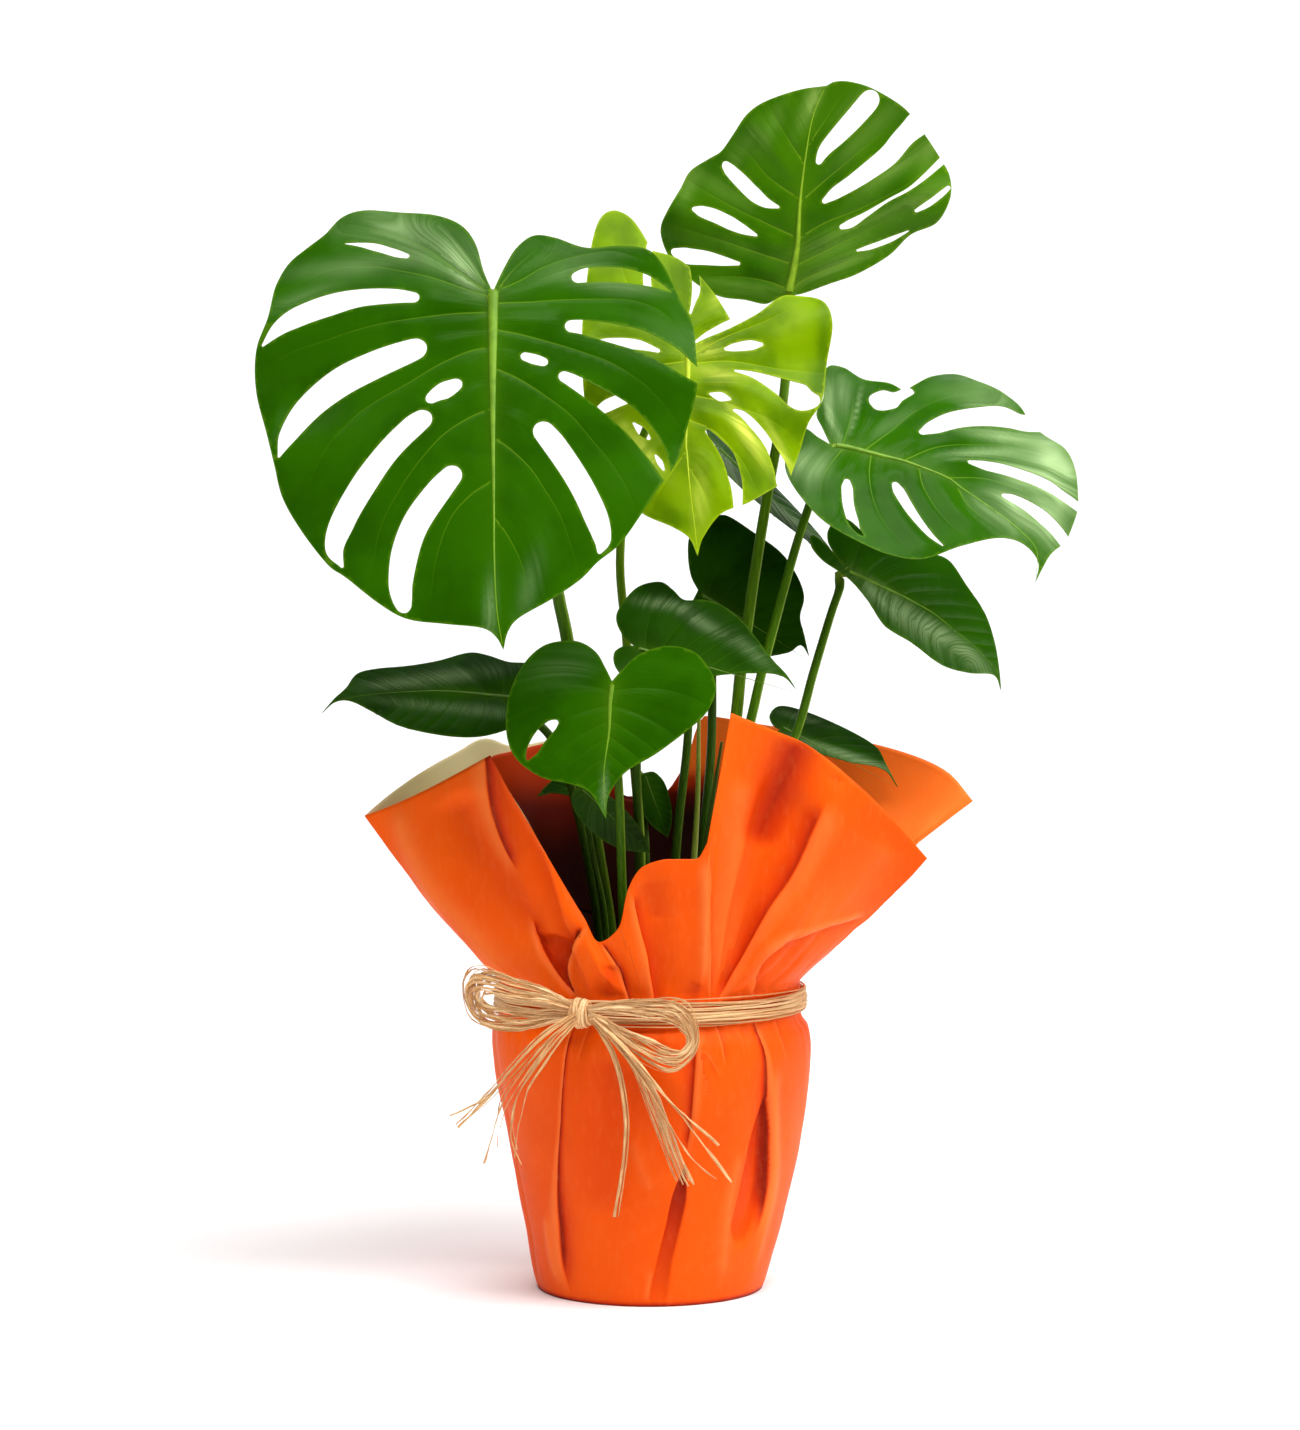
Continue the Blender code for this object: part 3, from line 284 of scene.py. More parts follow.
def drawnAt(points):  # where points show in the drawing
    scale = studio["unitAtAxis"] * (points[:, 1] - eye[1]) / -eye[1]
    across = studio["levelUnit"][0] + points[:, 0] / scale
    down = studio["levelUnit"][1] + (eye[2] - points[:, 2]) / scale
    return np.stack([across, down], 1)


# Lines
piecesBetweenPoints = 12


def reachAlong(line):  # how far along the line each of its points is
    return np.concatenate([[0.0], np.cumsum(np.linalg.norm(np.diff(line, axis=0), axis=1))])


def smoothLine(points, step=None, count=None):
    points = np.asarray(points, float)
    ends = np.vstack([2 * points[0] - points[1], points, 2 * points[-1] - points[-2]])
    t = np.linspace(0, 1, piecesBetweenPoints, endpoint=False)[:, None]
    fine = []
    for i in range(len(points) - 1):
        a, b, c, d = ends[i : i + 4]
        square, cube = 2 * a - 5 * b + 4 * c - d, 3 * b - a - 3 * c + d
        fine.append(0.5 * (2 * b + (c - a) * t + square * t**2 + cube * t**3))
    fine = np.vstack(fine + [points[-1:]])
    reach = reachAlong(fine)
    parts = count - 1 if count else max(1, round(reach[-1] / step))
    wanted = np.linspace(0, reach[-1], parts + 1)
    return np.stack([np.interp(wanted, reach, fine[:, k]) for k in range(fine.shape[1])], 1)


def insideLoop(points, loop):
    x, y = points[:, 0][:, None], points[:, 1][:, None]
    after = np.roll(loop, -1, axis=0)
    rise = after[:, 1] - loop[:, 1]
    rise[np.abs(rise) < 1e-12] = 1e-12
    crossed = (loop[:, 1] > y) != (after[:, 1] > y)
    hits = crossed & (x < loop[:, 0] + (after[:, 0] - loop[:, 0]) / rise * (y - loop[:, 1]))
    return hits.sum(1) % 2 == 1


def lineDistance(points, line):  # distance, share of the line's length, and side at the nearest place
    start = line[:-1]
    run = np.diff(line, axis=0)
    found = []
    for some in np.array_split(points, len(points) // 2000 + 1):
        away = some[:, None, :] - start
        share = np.clip((away * run).sum(-1) / np.maximum((run * run).sum(-1), 1e-14), 0, 1)
        away -= share[..., None] * run
        squared = (away * away).sum(-1)
        nearest = squared.argmin(1)
        rows = np.arange(len(some))
        side = run[nearest, 0] * away[rows, nearest, 1] - run[nearest, 1] * away[rows, nearest, 0]
        place = (nearest + share[rows, nearest]) / len(start)
        found.append(np.stack([np.sqrt(squared[rows, nearest]), place, np.sign(side)]))
    return np.hstack(found)


def loopDistance(points, loop):
    return lineDistance(points, np.vstack([loop, loop[:1]]))[0]


def smoothStep(values, low, high):
    share = np.clip((values - low) / (high - low), 0, 1)
    return share * share * (3 - 2 * share)


# Leaf finishes
leafTones = {  # base, deeper patches and painted shade, veins, underside, painted sheen
    "deep": (rgb(38, 88, 0), rgb(28, 72, 0), rgb(112, 152, 30), rgb(84, 120, 50), rgb(156, 184, 126)),
    "dark": (rgb(28, 66, 2), rgb(16, 44, 1), rgb(84, 118, 26), rgb(70, 100, 50), rgb(128, 150, 104)),
    "bright": (rgb(58, 107, 2), rgb(39, 87, 1), rgb(136, 172, 34), rgb(100, 138, 56), rgb(134, 166, 76)),
    "fresh": (rgb(113, 147, 0), rgb(66, 102, 0), rgb(188, 207, 36), rgb(134, 160, 28), rgb(232, 238, 96)),
}


def leafFinish(name, tone, gloss, shine):
    base, deep, vein, _, pale = leafTones[tone]
    finish = Finish(name, Specular_IOR_Level=shine, Specular_Tint=(0.9, 1.0, 0.6, 1.0))
    patches = finish.step(finish.noise(26, 3), 0.38, 0.66)
    colour = finish.mix(patches * 0.8, base, deep)
    spot = finish.combine(finish.attribute("stripe") * 7.0, finish.noise(9, 2) * 3.0, 0.0)
    streaks = finish.noise(1.0, 3, vector=spot)
    colour = finish.mix(finish.step(streaks, 0.35, 0.65) * 0.14, colour, base)
    # painted shade where the amount is below 0, a streaky painted highlight where it is above
    sheenAndShade = finish.attribute("sheenAndShade")
    colour = finish.mix(finish.maths("MAXIMUM", sheenAndShade * -1.0, 0.0), colour, deep)
    sheenAndShade = finish.maths("MAXIMUM", sheenAndShade, 0.0) * (finish.step(streaks, 0.32, 0.68) * 0.7 + 0.3)
    colour = finish.mix(sheenAndShade, colour, pale)
    colour = finish.mix(finish.step(finish.attribute("veinShare"), 0.10, 0.9) * 0.40, colour, vein)
    colour = finish.mix(finish.attribute("besideRib") * 0.22, colour, vein)
    rib = finish.attribute("ribAway") / finish.attribute("ribHalf")
    colour = finish.mix((1.0 - finish.step(rib, 0.5, 1.1)) * 0.8, colour, vein)
    edge = finish.step(finish.attribute("edgeShare"), 0.30, 0.95)
    colour = finish.mix(edge * 0.25, colour, vein)
    finish.set(Base_Color=colour, Roughness=finish.noise(180, 2) * 0.14 + (gloss - 0.07))
    finish.bump(streaks, 0.00035, 0.6)
    return finish.material


def undersideFinish(name, tone):
    _, _, vein, under, _ = leafTones[tone]
    finish = Finish(name, Roughness=0.62)
    lines = finish.maths("SINE", finish.attribute("stripe") * (math.tau * 6)) * 0.5 + 0.5
    colour = finish.mix(lines * 0.15, under, vein)
    colour = finish.mix(finish.step(finish.attribute("veinShare"), 0.1, 0.8) * 0.5, colour, vein)
    finish.set(Base_Color=colour)
    finish.bump(finish.noise(900, 2) * 0.4 + lines * 0.3, 0.0002, 0.6)
    return finish.material


def ribFinish(name, tone):
    base, _, vein, _, _ = leafTones[tone]
    finish = Finish(name, Roughness=0.42, Specular_IOR_Level=0.25)
    finish.set(Base_Color=finish.mix(finish.step(finish.noise(120, 2), 0.35, 0.7) * 0.35, vein, base))
    finish.bump(finish.noise(420, 2), 0.0002, 0.4)
    return finish.material


# Leaf shapes
blade = {
    "thickness": 0.0006,
    "outlineStep": 0.0024,
    "gridStep": 0.0036,
    "outlineGap": 0.0009,  # mesh points inside keep this far from an outline
    "cutLineStep": 0.001,
    "flatCentre": 0.004,  # radius of the flat place over the stalk
    "bendFrom": 0.020,  # radius at which the blade bends in full
    "bendRounds": 6,
    "veinStep": 0.0032,
    "veinHalf": 0.0007,
    "sideRibHalf": 0.0009,  # side veins underneath, at most
    "rib": 0.0016,  # the midrib's half width at its base
    "ribTaper": ([0, 0.12, 0.25, 0.45, 0.6, 0.8, 1], [1.0, 0.84, 0.62, 0.36, 0.22, 0.14, 0.08]),
    "besideRib": 0.0045,  # how far the midrib's colour spreads
    "veinGroove": 0.00035,
    "quilt": 0.0017,  # how far the blade swells between its side veins
    "quiltFromRib": (0.002, 0.016),  # where the swelling begins, and where it is full
    "quiltFromEdge": 0.010,
    "edgeBand": 0.0014,  # width of the paler margin
    "sharpAngle": 50,  # degrees
}


def easyCurve(places, values, wanted):  # a smooth curve through the values that never runs past them
    run = np.diff(places)
    slope = np.diff(values) / run
    before, after = slope[:-1], slope[1:]
    same = before * after > 0
    inner = np.where(same, 2 * before * after / np.where(same, before + after, 1), 0)
    slopes = np.concatenate([[slope[0]], inner, [slope[-1]]])
    k = np.clip(np.searchsorted(places, wanted, side="right") - 1, 0, len(run) - 1)
    t = (wanted - places[k]) / run[k]
    a, b = values[k], values[k + 1]
    return (a * (1 + 2 * t) * (1 - t) ** 2 + b * t * t * (3 - 2 * t)
            + run[k] * (slopes[k] * t * (1 - t) ** 2 - slopes[k + 1] * t * t * (1 - t)))


def leafFrame(leaf):
    base = atDepth((*leaf["attach"], leaf["depth"][0]))[0]
    tip = atDepth((*leaf["tip"], leaf["depth"][1]))[0]
    length = np.linalg.norm(tip - base)
    along = (tip - base) / length
    face = np.array(leaf["facing"], float)
    face -= along * (face @ along)
    face /= np.linalg.norm(face)
    return base, np.cross(along, face), along, face, length


def halfWidth(leaf):
    if "heart" in leaf:
        return leaf["heart"]
    base, across, _, face, _ = leafFrame(leaf)
    drawn = [point for arc in leaf["margin"] for point in arc]
    return np.abs((onPlane(drawn, base, face) - base) @ across).max()


def bend(leaf, flat):  # how far each point stands out of the blade's plane
    u, v = flat[:, 0] / halfWidth(leaf), flat[:, 1] / leafFrame(leaf)[4]
    height = leaf.get("fold", 0.0) * (np.hypot(u, 0.12) - 0.12) + leaf.get("roll", 0.0) * u * u
    height -= leaf.get("droop", 0.0) * np.maximum(v, 0) ** 2
    height += leaf.get("lift", 0.0) * np.maximum(-v, 0) ** 2
    wave = np.sin(math.tau * (leaf.get("waves", 2) * v + 0.2))
    height += leaf.get("wave", 0.0) * wave * np.abs(u) * u
    return height * smoothStep(np.hypot(flat[:, 0], flat[:, 1]), blade["flatCentre"], blade["bendFrom"])


def flatOutline(leaf, units):  # drawn points on the blade's plane, so that the bent blade looks as drawn
    base, across, along, face, _ = leafFrame(leaf)
    heights = np.zeros(len(units))
    for _ in range(blade["bendRounds"]):
        away = onPlane(units, base + face * heights[:, None], face) - base
        flat = np.stack([away @ across, away @ along], 1)
        heights = bend(leaf, flat)
    return flat


def heartArcs(half, length):
    side = np.array([(0.0, -0.035), (0.22, -0.13), (0.60, -0.15), (0.90, -0.03), (1.0, 0.17), (0.88, 0.44),
                     (0.55, 0.72), (0.20, 0.91), (0.0, 1.0)])
    return [side * (half, length), side[::-1] * (-half, length)]


def marginLoop(leaf):
    if "heart" in leaf:
        arcs = heartArcs(leaf["heart"], leafFrame(leaf)[4])
    else:
        margin = leaf["margin"]
        arcs = [flatOutline(leaf, arc + after[:1]) for arc, after in zip(margin, margin[1:] + margin[:1])]
    return np.vstack([smoothLine(arc, step=blade["outlineStep"])[:-1] for arc in arcs])


def sideways(line):
    run = np.gradient(line, axis=0)
    run /= np.maximum(np.linalg.norm(run, axis=1), 1e-9)[:, None]
    return np.stack([-run[:, 1], run[:, 0]], 1)


def cutLoop(leaf, cut):  # a slot's outline, from its middle line and its width at each drawn point
    stretch = studio["unitAtAxis"] * (1 + leaf["depth"][0] / -eye[1])
    drawn = flatOutline(leaf, [c[:2] for c in cut])
    line = smoothLine(drawn, step=blade["cutLineStep"])
    reach = reachAlong(line)
    places = np.array([reach[np.linalg.norm(line - point, axis=1).argmin()] for point in drawn])
    halves = np.array([c[2] for c in cut]) * stretch / 2
    first, last = halves[0], halves[-1]
    turn = 1 - np.cos(np.linspace(0, math.pi / 2, 6))
    steps = max(round((reach[-1] - first - last) / (blade["outlineStep"] * 0.7)), 2)
    spots = np.concatenate([first * turn, np.linspace(first, reach[-1] - last, steps + 1)[1:-1],
                            (reach[-1] - last * turn)[::-1]])
    half = easyCurve(places, halves, spots)
    half *= np.sqrt(np.clip(1 - (1 - np.clip(spots / first, 0, 1)) ** 2, 0, 1))
    half *= np.sqrt(np.clip(1 - (1 - np.clip((reach[-1] - spots) / last, 0, 1)) ** 2, 0, 1))
    line = np.stack([np.interp(spots, reach, line[:, k]) for k in (0, 1)], 1)
    side = sideways(line) * half[:, None]
    return np.vstack([line[:1], (line + side)[1:-1], line[-1:], (line - side)[-2:0:-1]])


def rightOfRib(flat, midrib):  # how far to the right of the midrib each point is
    return flat[:, 0] - np.interp(flat[:, 1], midrib[:, 1], midrib[:, 0])


def veinLines(leaf):  # the midrib, then (line, side) for each side vein, base to tip
    half, length = halfWidth(leaf), leafFrame(leaf)[4]
    if "midrib" in leaf:
        midrib = flatOutline(leaf, leaf["midrib"])
    else:
        midrib = [(0, share * length) for share in (-0.02, 0.5, 0.985)]
    midrib = smoothLine(midrib, step=blade["veinStep"])
    found = []
    for drawn in leaf.get("leftVeins", []) + leaf.get("rightVeins", []):
        line = smoothLine(flatOutline(leaf, drawn), step=blade["veinStep"])
        found.append((line, np.sign(rightOfRib(line, midrib).mean())))
    if not found:
        count = leaf.get("veinCount", 8)
        for side in (-1, 1):
            for i in range(count):
                share = (i + 0.35) / count
                start = length * (0.86 * share**1.1 - 0.01)
                slope = np.interp(share, [0, 0.25, 1], [-0.45, 0.35, 1.15])
                u = np.linspace(0, 1.05, 9)
                line = np.stack([side * u * half, start + (slope * u + 0.42 * u * u) * half], 1)
                found.append((smoothLine(line, step=blade["veinStep"]), side))
    return midrib, found


def bladeFields(leaf, flat, loops, midrib, veins):  # what the finish and the relief read at each point
    edge = np.min([loopDistance(flat, loop) for loop in loops], axis=0)
    ribAway, ribPlace, _ = lineDistance(flat, midrib)
    side = np.sign(rightOfRib(flat, midrib))
    ribHalf = np.interp(ribPlace, *blade["ribTaper"]) * leaf.get("rib", blade["rib"])
    veinShare = np.zeros(len(flat))
    weights = np.full(len(flat), 1e-9)
    total = np.zeros(len(flat))
    order = {-1: 0, 1: 0}
    for line, veinSide in veins:
        away, place, _ = lineDistance(flat, line)
        mine = side == veinSide
        thin = blade["veinHalf"] * (1.15 - 0.8 * place)
        strength = np.clip(1.2 - away / thin, 0, 1) * (1 - 0.75 * place)
        veinShare = np.maximum(veinShare, np.where(mine, strength, 0))
        weight = np.where(mine, 1 / (away**2 + 1e-7), 0)
        weights += weight
        total += weight * order[veinSide]
        order[veinSide] += 1
    stripe = total / weights
    swell = 1 - (2 * np.abs(stripe % 1 - 0.5)) ** 2
    swell *= smoothStep(ribAway, *blade["quiltFromRib"]) * smoothStep(edge, 0.0, blade["quiltFromEdge"])
    beside = np.exp(-ribAway / blade["besideRib"]) * (1 - 0.8 * smoothStep(ribPlace, 0.0, 0.7))
    return {
        "edgeShare": np.clip(1 - edge / blade["edgeBand"], 0, 1),
        "besideRib": beside,
        "ribAway": ribAway * 1000,
        "ribHalf": ribHalf * 1000,
        "veinShare": veinShare,
        "stripe": stripe,
    }, swell


def sheenAndShadeAt(leaf, drawn):  # painted sheen, and painted shade where the amount is below 0
    sheenAndShade = np.zeros(len(drawn))
    for x, z, length, width, turn, amount in leaf.get("sheenAndShade", ()):
        run = np.array([math.cos(math.radians(turn)), -math.sin(math.radians(turn))])
        away = drawn - (x, z)
        along, across = away @ run, away @ (-run[1], run[0])
        sheenAndShade += amount * np.exp(-((along / length) ** 2) - (across / width) ** 2)
    return np.clip(sheenAndShade, -1, 1)


def bladeSurface(leaf, flat, height):
    base, across, along, face, _ = leafFrame(leaf)
    return base + flat[:, :1] * across + flat[:, 1:] * along + height[:, None] * face


def bladeMesh(leaf, loops, midrib, veins):  # the flat blade's points and triangles, round its slots and holes
    margin, *cuts = loops
    points = []
    edges = []
    for loop in loops:
        edges += [(len(points) + i, len(points) + (i + 1) % len(loop)) for i in range(len(loop))]
        points += list(loop)
    beside = []
    ribs = [(midrib, leaf.get("rib", blade["rib"]))] + [(line, blade["veinHalf"]) for line, _ in veins]
    for line, width in ribs:
        side = sideways(line) * width
        beside += [line, line + side, line - side]
    step = blade["gridStep"]
    rows = np.arange(margin[:, 1].min(), margin[:, 1].max(), step * 0.866)
    columns = np.arange(margin[:, 0].min(), margin[:, 0].max(), step)
    grid = np.array([(x + step * 0.5 * (k % 2), y) for k, y in enumerate(rows) for x in columns])
    for line in [midrib] + [line for line, _ in veins]:
        grid = grid[lineDistance(grid, line)[0] > 0.6 * step]
    fill = np.vstack(beside + [grid])
    fill = fill[insideLoop(fill, margin)]
    for loop in loops:
        fill = fill[loopDistance(fill, loop) > blade["outlineGap"]]
    for cut in cuts:
        fill = fill[~insideLoop(fill, cut)]
    points += list(fill)
    flat, _, triangles, *_ = delaunay_2d_cdt([Vector(p) for p in points], edges, [], 0, 1e-6)
    flat = np.array([tuple(p) for p in flat])
    triangles = np.array([tuple(t) for t in triangles])
    middle = flat[triangles].mean(axis=1)
    keep = insideLoop(middle, margin)
    for cut in cuts:
        keep &= ~insideLoop(middle, cut)
    used, triangles = np.unique(triangles[keep], return_inverse=True)
    triangles = triangles.reshape(-1, 3)
    flat = flat[used]
    a, b, c = (flat[triangles[:, k]] for k in range(3))
    turned = (b - a)[:, 0] * (c - a)[:, 1] - (b - a)[:, 1] * (c - a)[:, 0] < 0
    triangles[turned] = triangles[turned][:, ::-1]
    return flat, triangles


def makeBlade(leaf, loops, midrib, veins):
    flat, triangles = bladeMesh(leaf, loops, midrib, veins)
    fields, swell = bladeFields(leaf, flat, loops, midrib, veins)
    groove = blade["veinGroove"] * fields["veinShare"]
    height = bend(leaf, flat) + leaf.get("quilt", blade["quilt"]) * swell - groove
    points = bladeSurface(leaf, flat, height)
    fields["veinShare"] = fields["veinShare"] * leaf.get("veinPaint", 1.0)
    # painted highlights and painted shade, placed where they show in the drawing
    fields["sheenAndShade"] = sheenAndShadeAt(leaf, drawnAt(points))
    sheet = addPiece("sheet", meshOf("sheet", points, (), triangles, **fields))
    sheet.data.materials.append(leafFinishes[leaf["tone"]])
    sheet.data.materials.append(undersideFinishes[leaf["tone"]])
    piece = walled(sheet, "leaf" + leafName(leaf), blade["thickness"], 0.0, inside=1)
    piece.data.shade_smooth()
    piece.data.set_sharp_from_angle(angle=math.radians(blade["sharpAngle"]))
    seat(piece, "blade_" + leaf["node"], slot="leaf_" + leaf["tone"])


def leafName(leaf):
    return "".join(word.capitalize() for word in leaf["node"].split("_"))


# Stalks and ribs
stalk = {
    "soilTop": 0.150,
    "sink": 0.012,  # how deep a stalk stands in the soil
    "upright": 0.014,
    "points": 64,
    "sides": 14,
    "groove": 0.20,
    "neckShare": 0.62,  # the neck's radius over the foot's, where a leaf gives none
    "taper": 0.8,
    "elbow": 0.010,  # how far behind the blade the stalk turns up to it
    "knuckle": 0.22,  # the swelling just under the blade
    "knuckleAt": (0.955, 0.022),  # share of the length, and how far it reaches
}


def sweepRecipe():  # a tube along each guide line, with a groove and a flattened section
    recipe = Recipe("sweptTube", Sides=12, Groove=0.0, Flat=1.0, Material=None)
    curve = recipe.add("GeometryNodeMeshToCurve", {}, {"Mesh": recipe.start})
    shape = [recipe.size("Sides"), recipe.size("Flat"), recipe.named("thick"), recipe.size("Groove")]
    recipe.end(recipe.tube(curve, *shape))
    return recipe


def stalkFinish(name, colour, shade, pale):
    finish = Finish(name, Roughness=0.42, Specular_IOR_Level=0.16, Specular_Tint=(0.9, 1.0, 0.6, 1.0))
    around = finish.attribute("around")
    along = finish.attribute("along")
    streak = finish.noise(3, 3, vector=finish.combine(around * 30, along * 9, 0.0))
    tint = finish.mix(finish.step(streak, 0.35, 0.7), shade, colour)
    front = finish.maths("COSINE", around * math.tau)
    rim = finish.step(front, 0.45, 0.75) * (1.0 - finish.step(front, 0.78, 0.98))
    tint = finish.mix(rim * 0.45, tint, pale)
    tint = finish.mix(finish.step(along, 0.93, 0.97) * 0.55, tint, pale)
    finish.set(Base_Color=tint)
    finish.bump(streak * 0.5 + finish.noise(700, 2) * 0.5, 0.0003, 0.5)
    return finish.material


def stalkLine(footX, footY, route):  # up out of the soil, then along the route
    heights = (stalk["soilTop"] - stalk["sink"], stalk["soilTop"] + stalk["upright"])
    foot = [(footX, footY, height) for height in heights]
    return np.vstack([foot[:1], smoothLine(foot[1:] + list(route), count=stalk["points"])])


def makeStalk(leaf):
    base, _, along, face, _ = leafFrame(leaf)
    footX, footY, footRadius = leaf["foot"]
    elbow = leaf.get("elbow", stalk["elbow"])
    turn = [base - face * elbow - along * elbow * 0.3, base - face * 0.003, base - face * 0.0002]
    line = stalkLine(footX, footY, [*atDepth(leaf["route"]), *turn])
    share = np.linspace(0, 1, len(line))
    neck = leaf.get("neck", footRadius * stalk["neckShare"])
    radius = footRadius + (neck - footRadius) * share ** stalk["taper"]
    knuckle, reach = stalk["knuckleAt"]
    radius *= 1 + stalk["knuckle"] * np.exp(-(((share - knuckle) / reach) ** 2))
    guide = guideLines([(line, False)], along=share, thick=radius)
    values = {"Sides": stalk["sides"], "Groove": stalk["groove"], "Material": stalkFinishes[leaf["tone"]]}
    piece = sweptTube.run(guide, "stalk" + leafName(leaf), **values)
    seat(piece, "petiole_" + leaf["node"], slot="stalk_" + leaf["tone"])


def makeRibs(leaf, loops, midrib, veins):  # the midrib stands out on both faces, side veins only underneath
    margin, *cuts = loops
    rib = leaf.get("rib", blade["rib"])
    lines = [(bladeSurface(leaf, midrib, bend(leaf, midrib)), False)]
    thick = [np.interp(np.linspace(0, 1, len(midrib)), *blade["ribTaper"]) * rib]
    for vein, _ in veins:
        keep = insideLoop(vein, margin)
        for cut in cuts:
            keep &= ~insideLoop(vein, cut)
        stop = len(vein) if keep.all() else max(int(np.argmin(keep)), 1)
        vein = vein[:stop]
        if len(vein) < 4:
            continue
        sunk = bladeSurface(leaf, vein, bend(leaf, vein) - blade["veinGroove"] - blade["thickness"])
        lines.append((sunk, False))
        thick.append(np.linspace(1.0, 0.35, len(sunk)) * min(blade["sideRibHalf"], 0.5 * rib))
    guide = guideLines(lines, thick=np.concatenate(thick))
    values = {"Sides": 8, "Flat": 0.8, "Material": ribFinishes[leaf["tone"]]}
    piece = sweptTube.run(guide, "ribs" + leafName(leaf), **values)
    seat(piece, slot="leaf_" + leaf["tone"])


# The leaves, drawn from the front. A margin is a list of smooth arcs, each ending where the next one begins.
# A cut is a list of (x, z, width) along the middle of a slot or a hole.
# Painted sheen and shade is (x, z, half length, half width, turn in degrees, amount): a painted highlight, or
# painted shade where the amount is below 0. A route is (x, z, depth) up the stalk.
frontLeft = dict(
    node="front_left", tone="deep", attach=(493.5, 300), tip=(503.5, 650), depth=(-0.092, -0.16),
    facing=(0.04, -0.93, 0.36), rib=0.0036, quilt=0.0013, roll=-0.024, fold=0.004, droop=0.016, lift=-0.09,
    wave=0.006, waves=2.5, foot=(-0.024, -0.016, 0.0056), neck=0.004,
    midrib=[(493.5, 293), (493, 400), (494, 500), (494.5, 560), (497, 610), (503, 648)],
    leftVeins=[
        [(485, 285), (470, 262), (452, 240), (440, 228)],
        [(484, 290), (455, 270), (430, 252), (405, 240), (380, 232), (350, 226)],
        [(488, 297), (460, 288), (430, 278), (400, 272), (370, 268), (330, 272), (288, 292)],
        [(490, 313), (450, 315), (410, 320), (380, 325), (350, 333), (325, 342), (295, 352), (262, 372)],
        [(490, 348), (470, 352), (440, 365), (410, 383), (380, 400), (355, 418), (326, 450), (303, 500)],
        [(489, 410), (470, 418), (445, 434), (425, 455), (405, 482), (382, 525), (370, 580)],
        [(489, 483), (470, 496), (450, 520), (436, 560), (430, 605)],
    ],
    rightVeins=[
        [(500, 288), (515, 270), (535, 252)],
        [(499, 291), (520, 282), (545, 268), (580, 257), (615, 253), (645, 262)],
        [(499, 304), (530, 303), (560, 301), (600, 300), (635, 302), (665, 315), (685, 340)],
        [(499, 331), (520, 335), (550, 343), (580, 352), (610, 363), (635, 378), (655, 395), (682, 428)],
        [(498, 370), (520, 380), (545, 396), (570, 415), (590, 438), (610, 462), (625, 485), (636, 512)],
        [(497, 440), (510, 449), (530, 468), (545, 490), (560, 515), (571, 545), (580, 575)],
        [(496, 520), (508, 536), (522, 565), (528, 600)],
    ],
    margin=[
        [(493, 293), (484, 272), (476, 245), (462, 227), (437, 217), (400, 214), (365, 212), (343, 219),
         (326, 236), (309, 249), (290, 265), (277, 287), (269, 318), (257, 352), (257, 392), (267, 433),
         (275, 466), (283, 498), (303, 533), (328, 565), (345, 577), (378, 603), (407, 619), (445, 624),
         (482, 628), (496, 637)],
        [(503.5, 650), (508, 632), (519, 618), (552, 599), (580, 580), (598, 562), (620, 544), (641, 515),
         (660, 486), (676, 463), (689, 421), (697, 388), (696, 355), (692, 324), (678, 297), (664, 268),
         (648, 251), (620, 247), (586, 249), (555, 239), (534, 237), (517, 249), (505, 268)],
    ],
    cuts=[
        [(410, 258, 5), (395, 254, 9), (378, 249, 9), (361, 246, 5), (346, 245, 1)],
        [(420, 299, 10), (395, 297, 16), (360, 299, 20), (330, 306, 24), (300, 317, 22), (280, 329, 15),
         (263, 347, 2)],
        [(427, 346, 18), (410, 352, 24), (375, 366, 29), (340, 384, 31), (310, 408, 29), (290, 434, 20),
         (279, 458, 2)],
        [(427, 402, 9), (437, 395, 15), (445, 391, 18), (453, 387, 15), (462, 382, 9)],
        [(431, 414, 17), (413, 427, 23), (388, 452, 23), (362, 488, 25), (343, 522, 25), (335, 548, 19),
         (343, 568, 2)],
        [(459, 468, 18), (438, 492, 25), (417, 522, 27), (406, 550, 27), (401, 580, 24), (402, 597, 20),
         (406, 613, 11)],
        [(572, 280, 10), (590, 276, 16), (620, 276, 16), (645, 281, 12), (662, 288, 5), (671, 293, 1)],
        [(565, 327, 12), (583, 328, 16), (612, 334, 22), (642, 342, 25), (668, 355, 24), (687, 369, 18),
         (708, 384, 11)],
        [(559, 375, 10), (572, 381, 14), (600, 398, 19), (627, 418, 24), (648, 441, 24), (661, 463, 17),
         (671, 488, 5)],
        [(537, 424, 20), (556, 447, 24), (578, 480, 24), (594, 512, 24), (602, 538, 18), (599, 554, 3)],
        [(521, 356, 8), (528, 358, 10), (535, 360, 11), (542, 362, 10), (548, 364, 7)],
    ],
    sheenAndShade=[
        (420, 242, 62, 20, -28, 0.44), (375, 228, 40, 12, 0, 0.26), (350, 268, 55, 9, 6, 0.24),
        (300, 300, 40, 8, 22, 0.15), (575, 262, 40, 14, 12, 0.28), (620, 288, 40, 7, -6, 0.25),
        (490, 612, 30, 5, 88, 0.4), (530, 585, 34, 9, 75, 0.15), (462, 268, 24, 9, -55, 0.8),
    ],
    route=[
        (611, 940, -0.02), (598, 850, -0.024), (581, 730, -0.032), (568, 640, -0.04), (559, 596, -0.045),
        (543, 500, -0.056), (515, 390, -0.066),
    ],
)

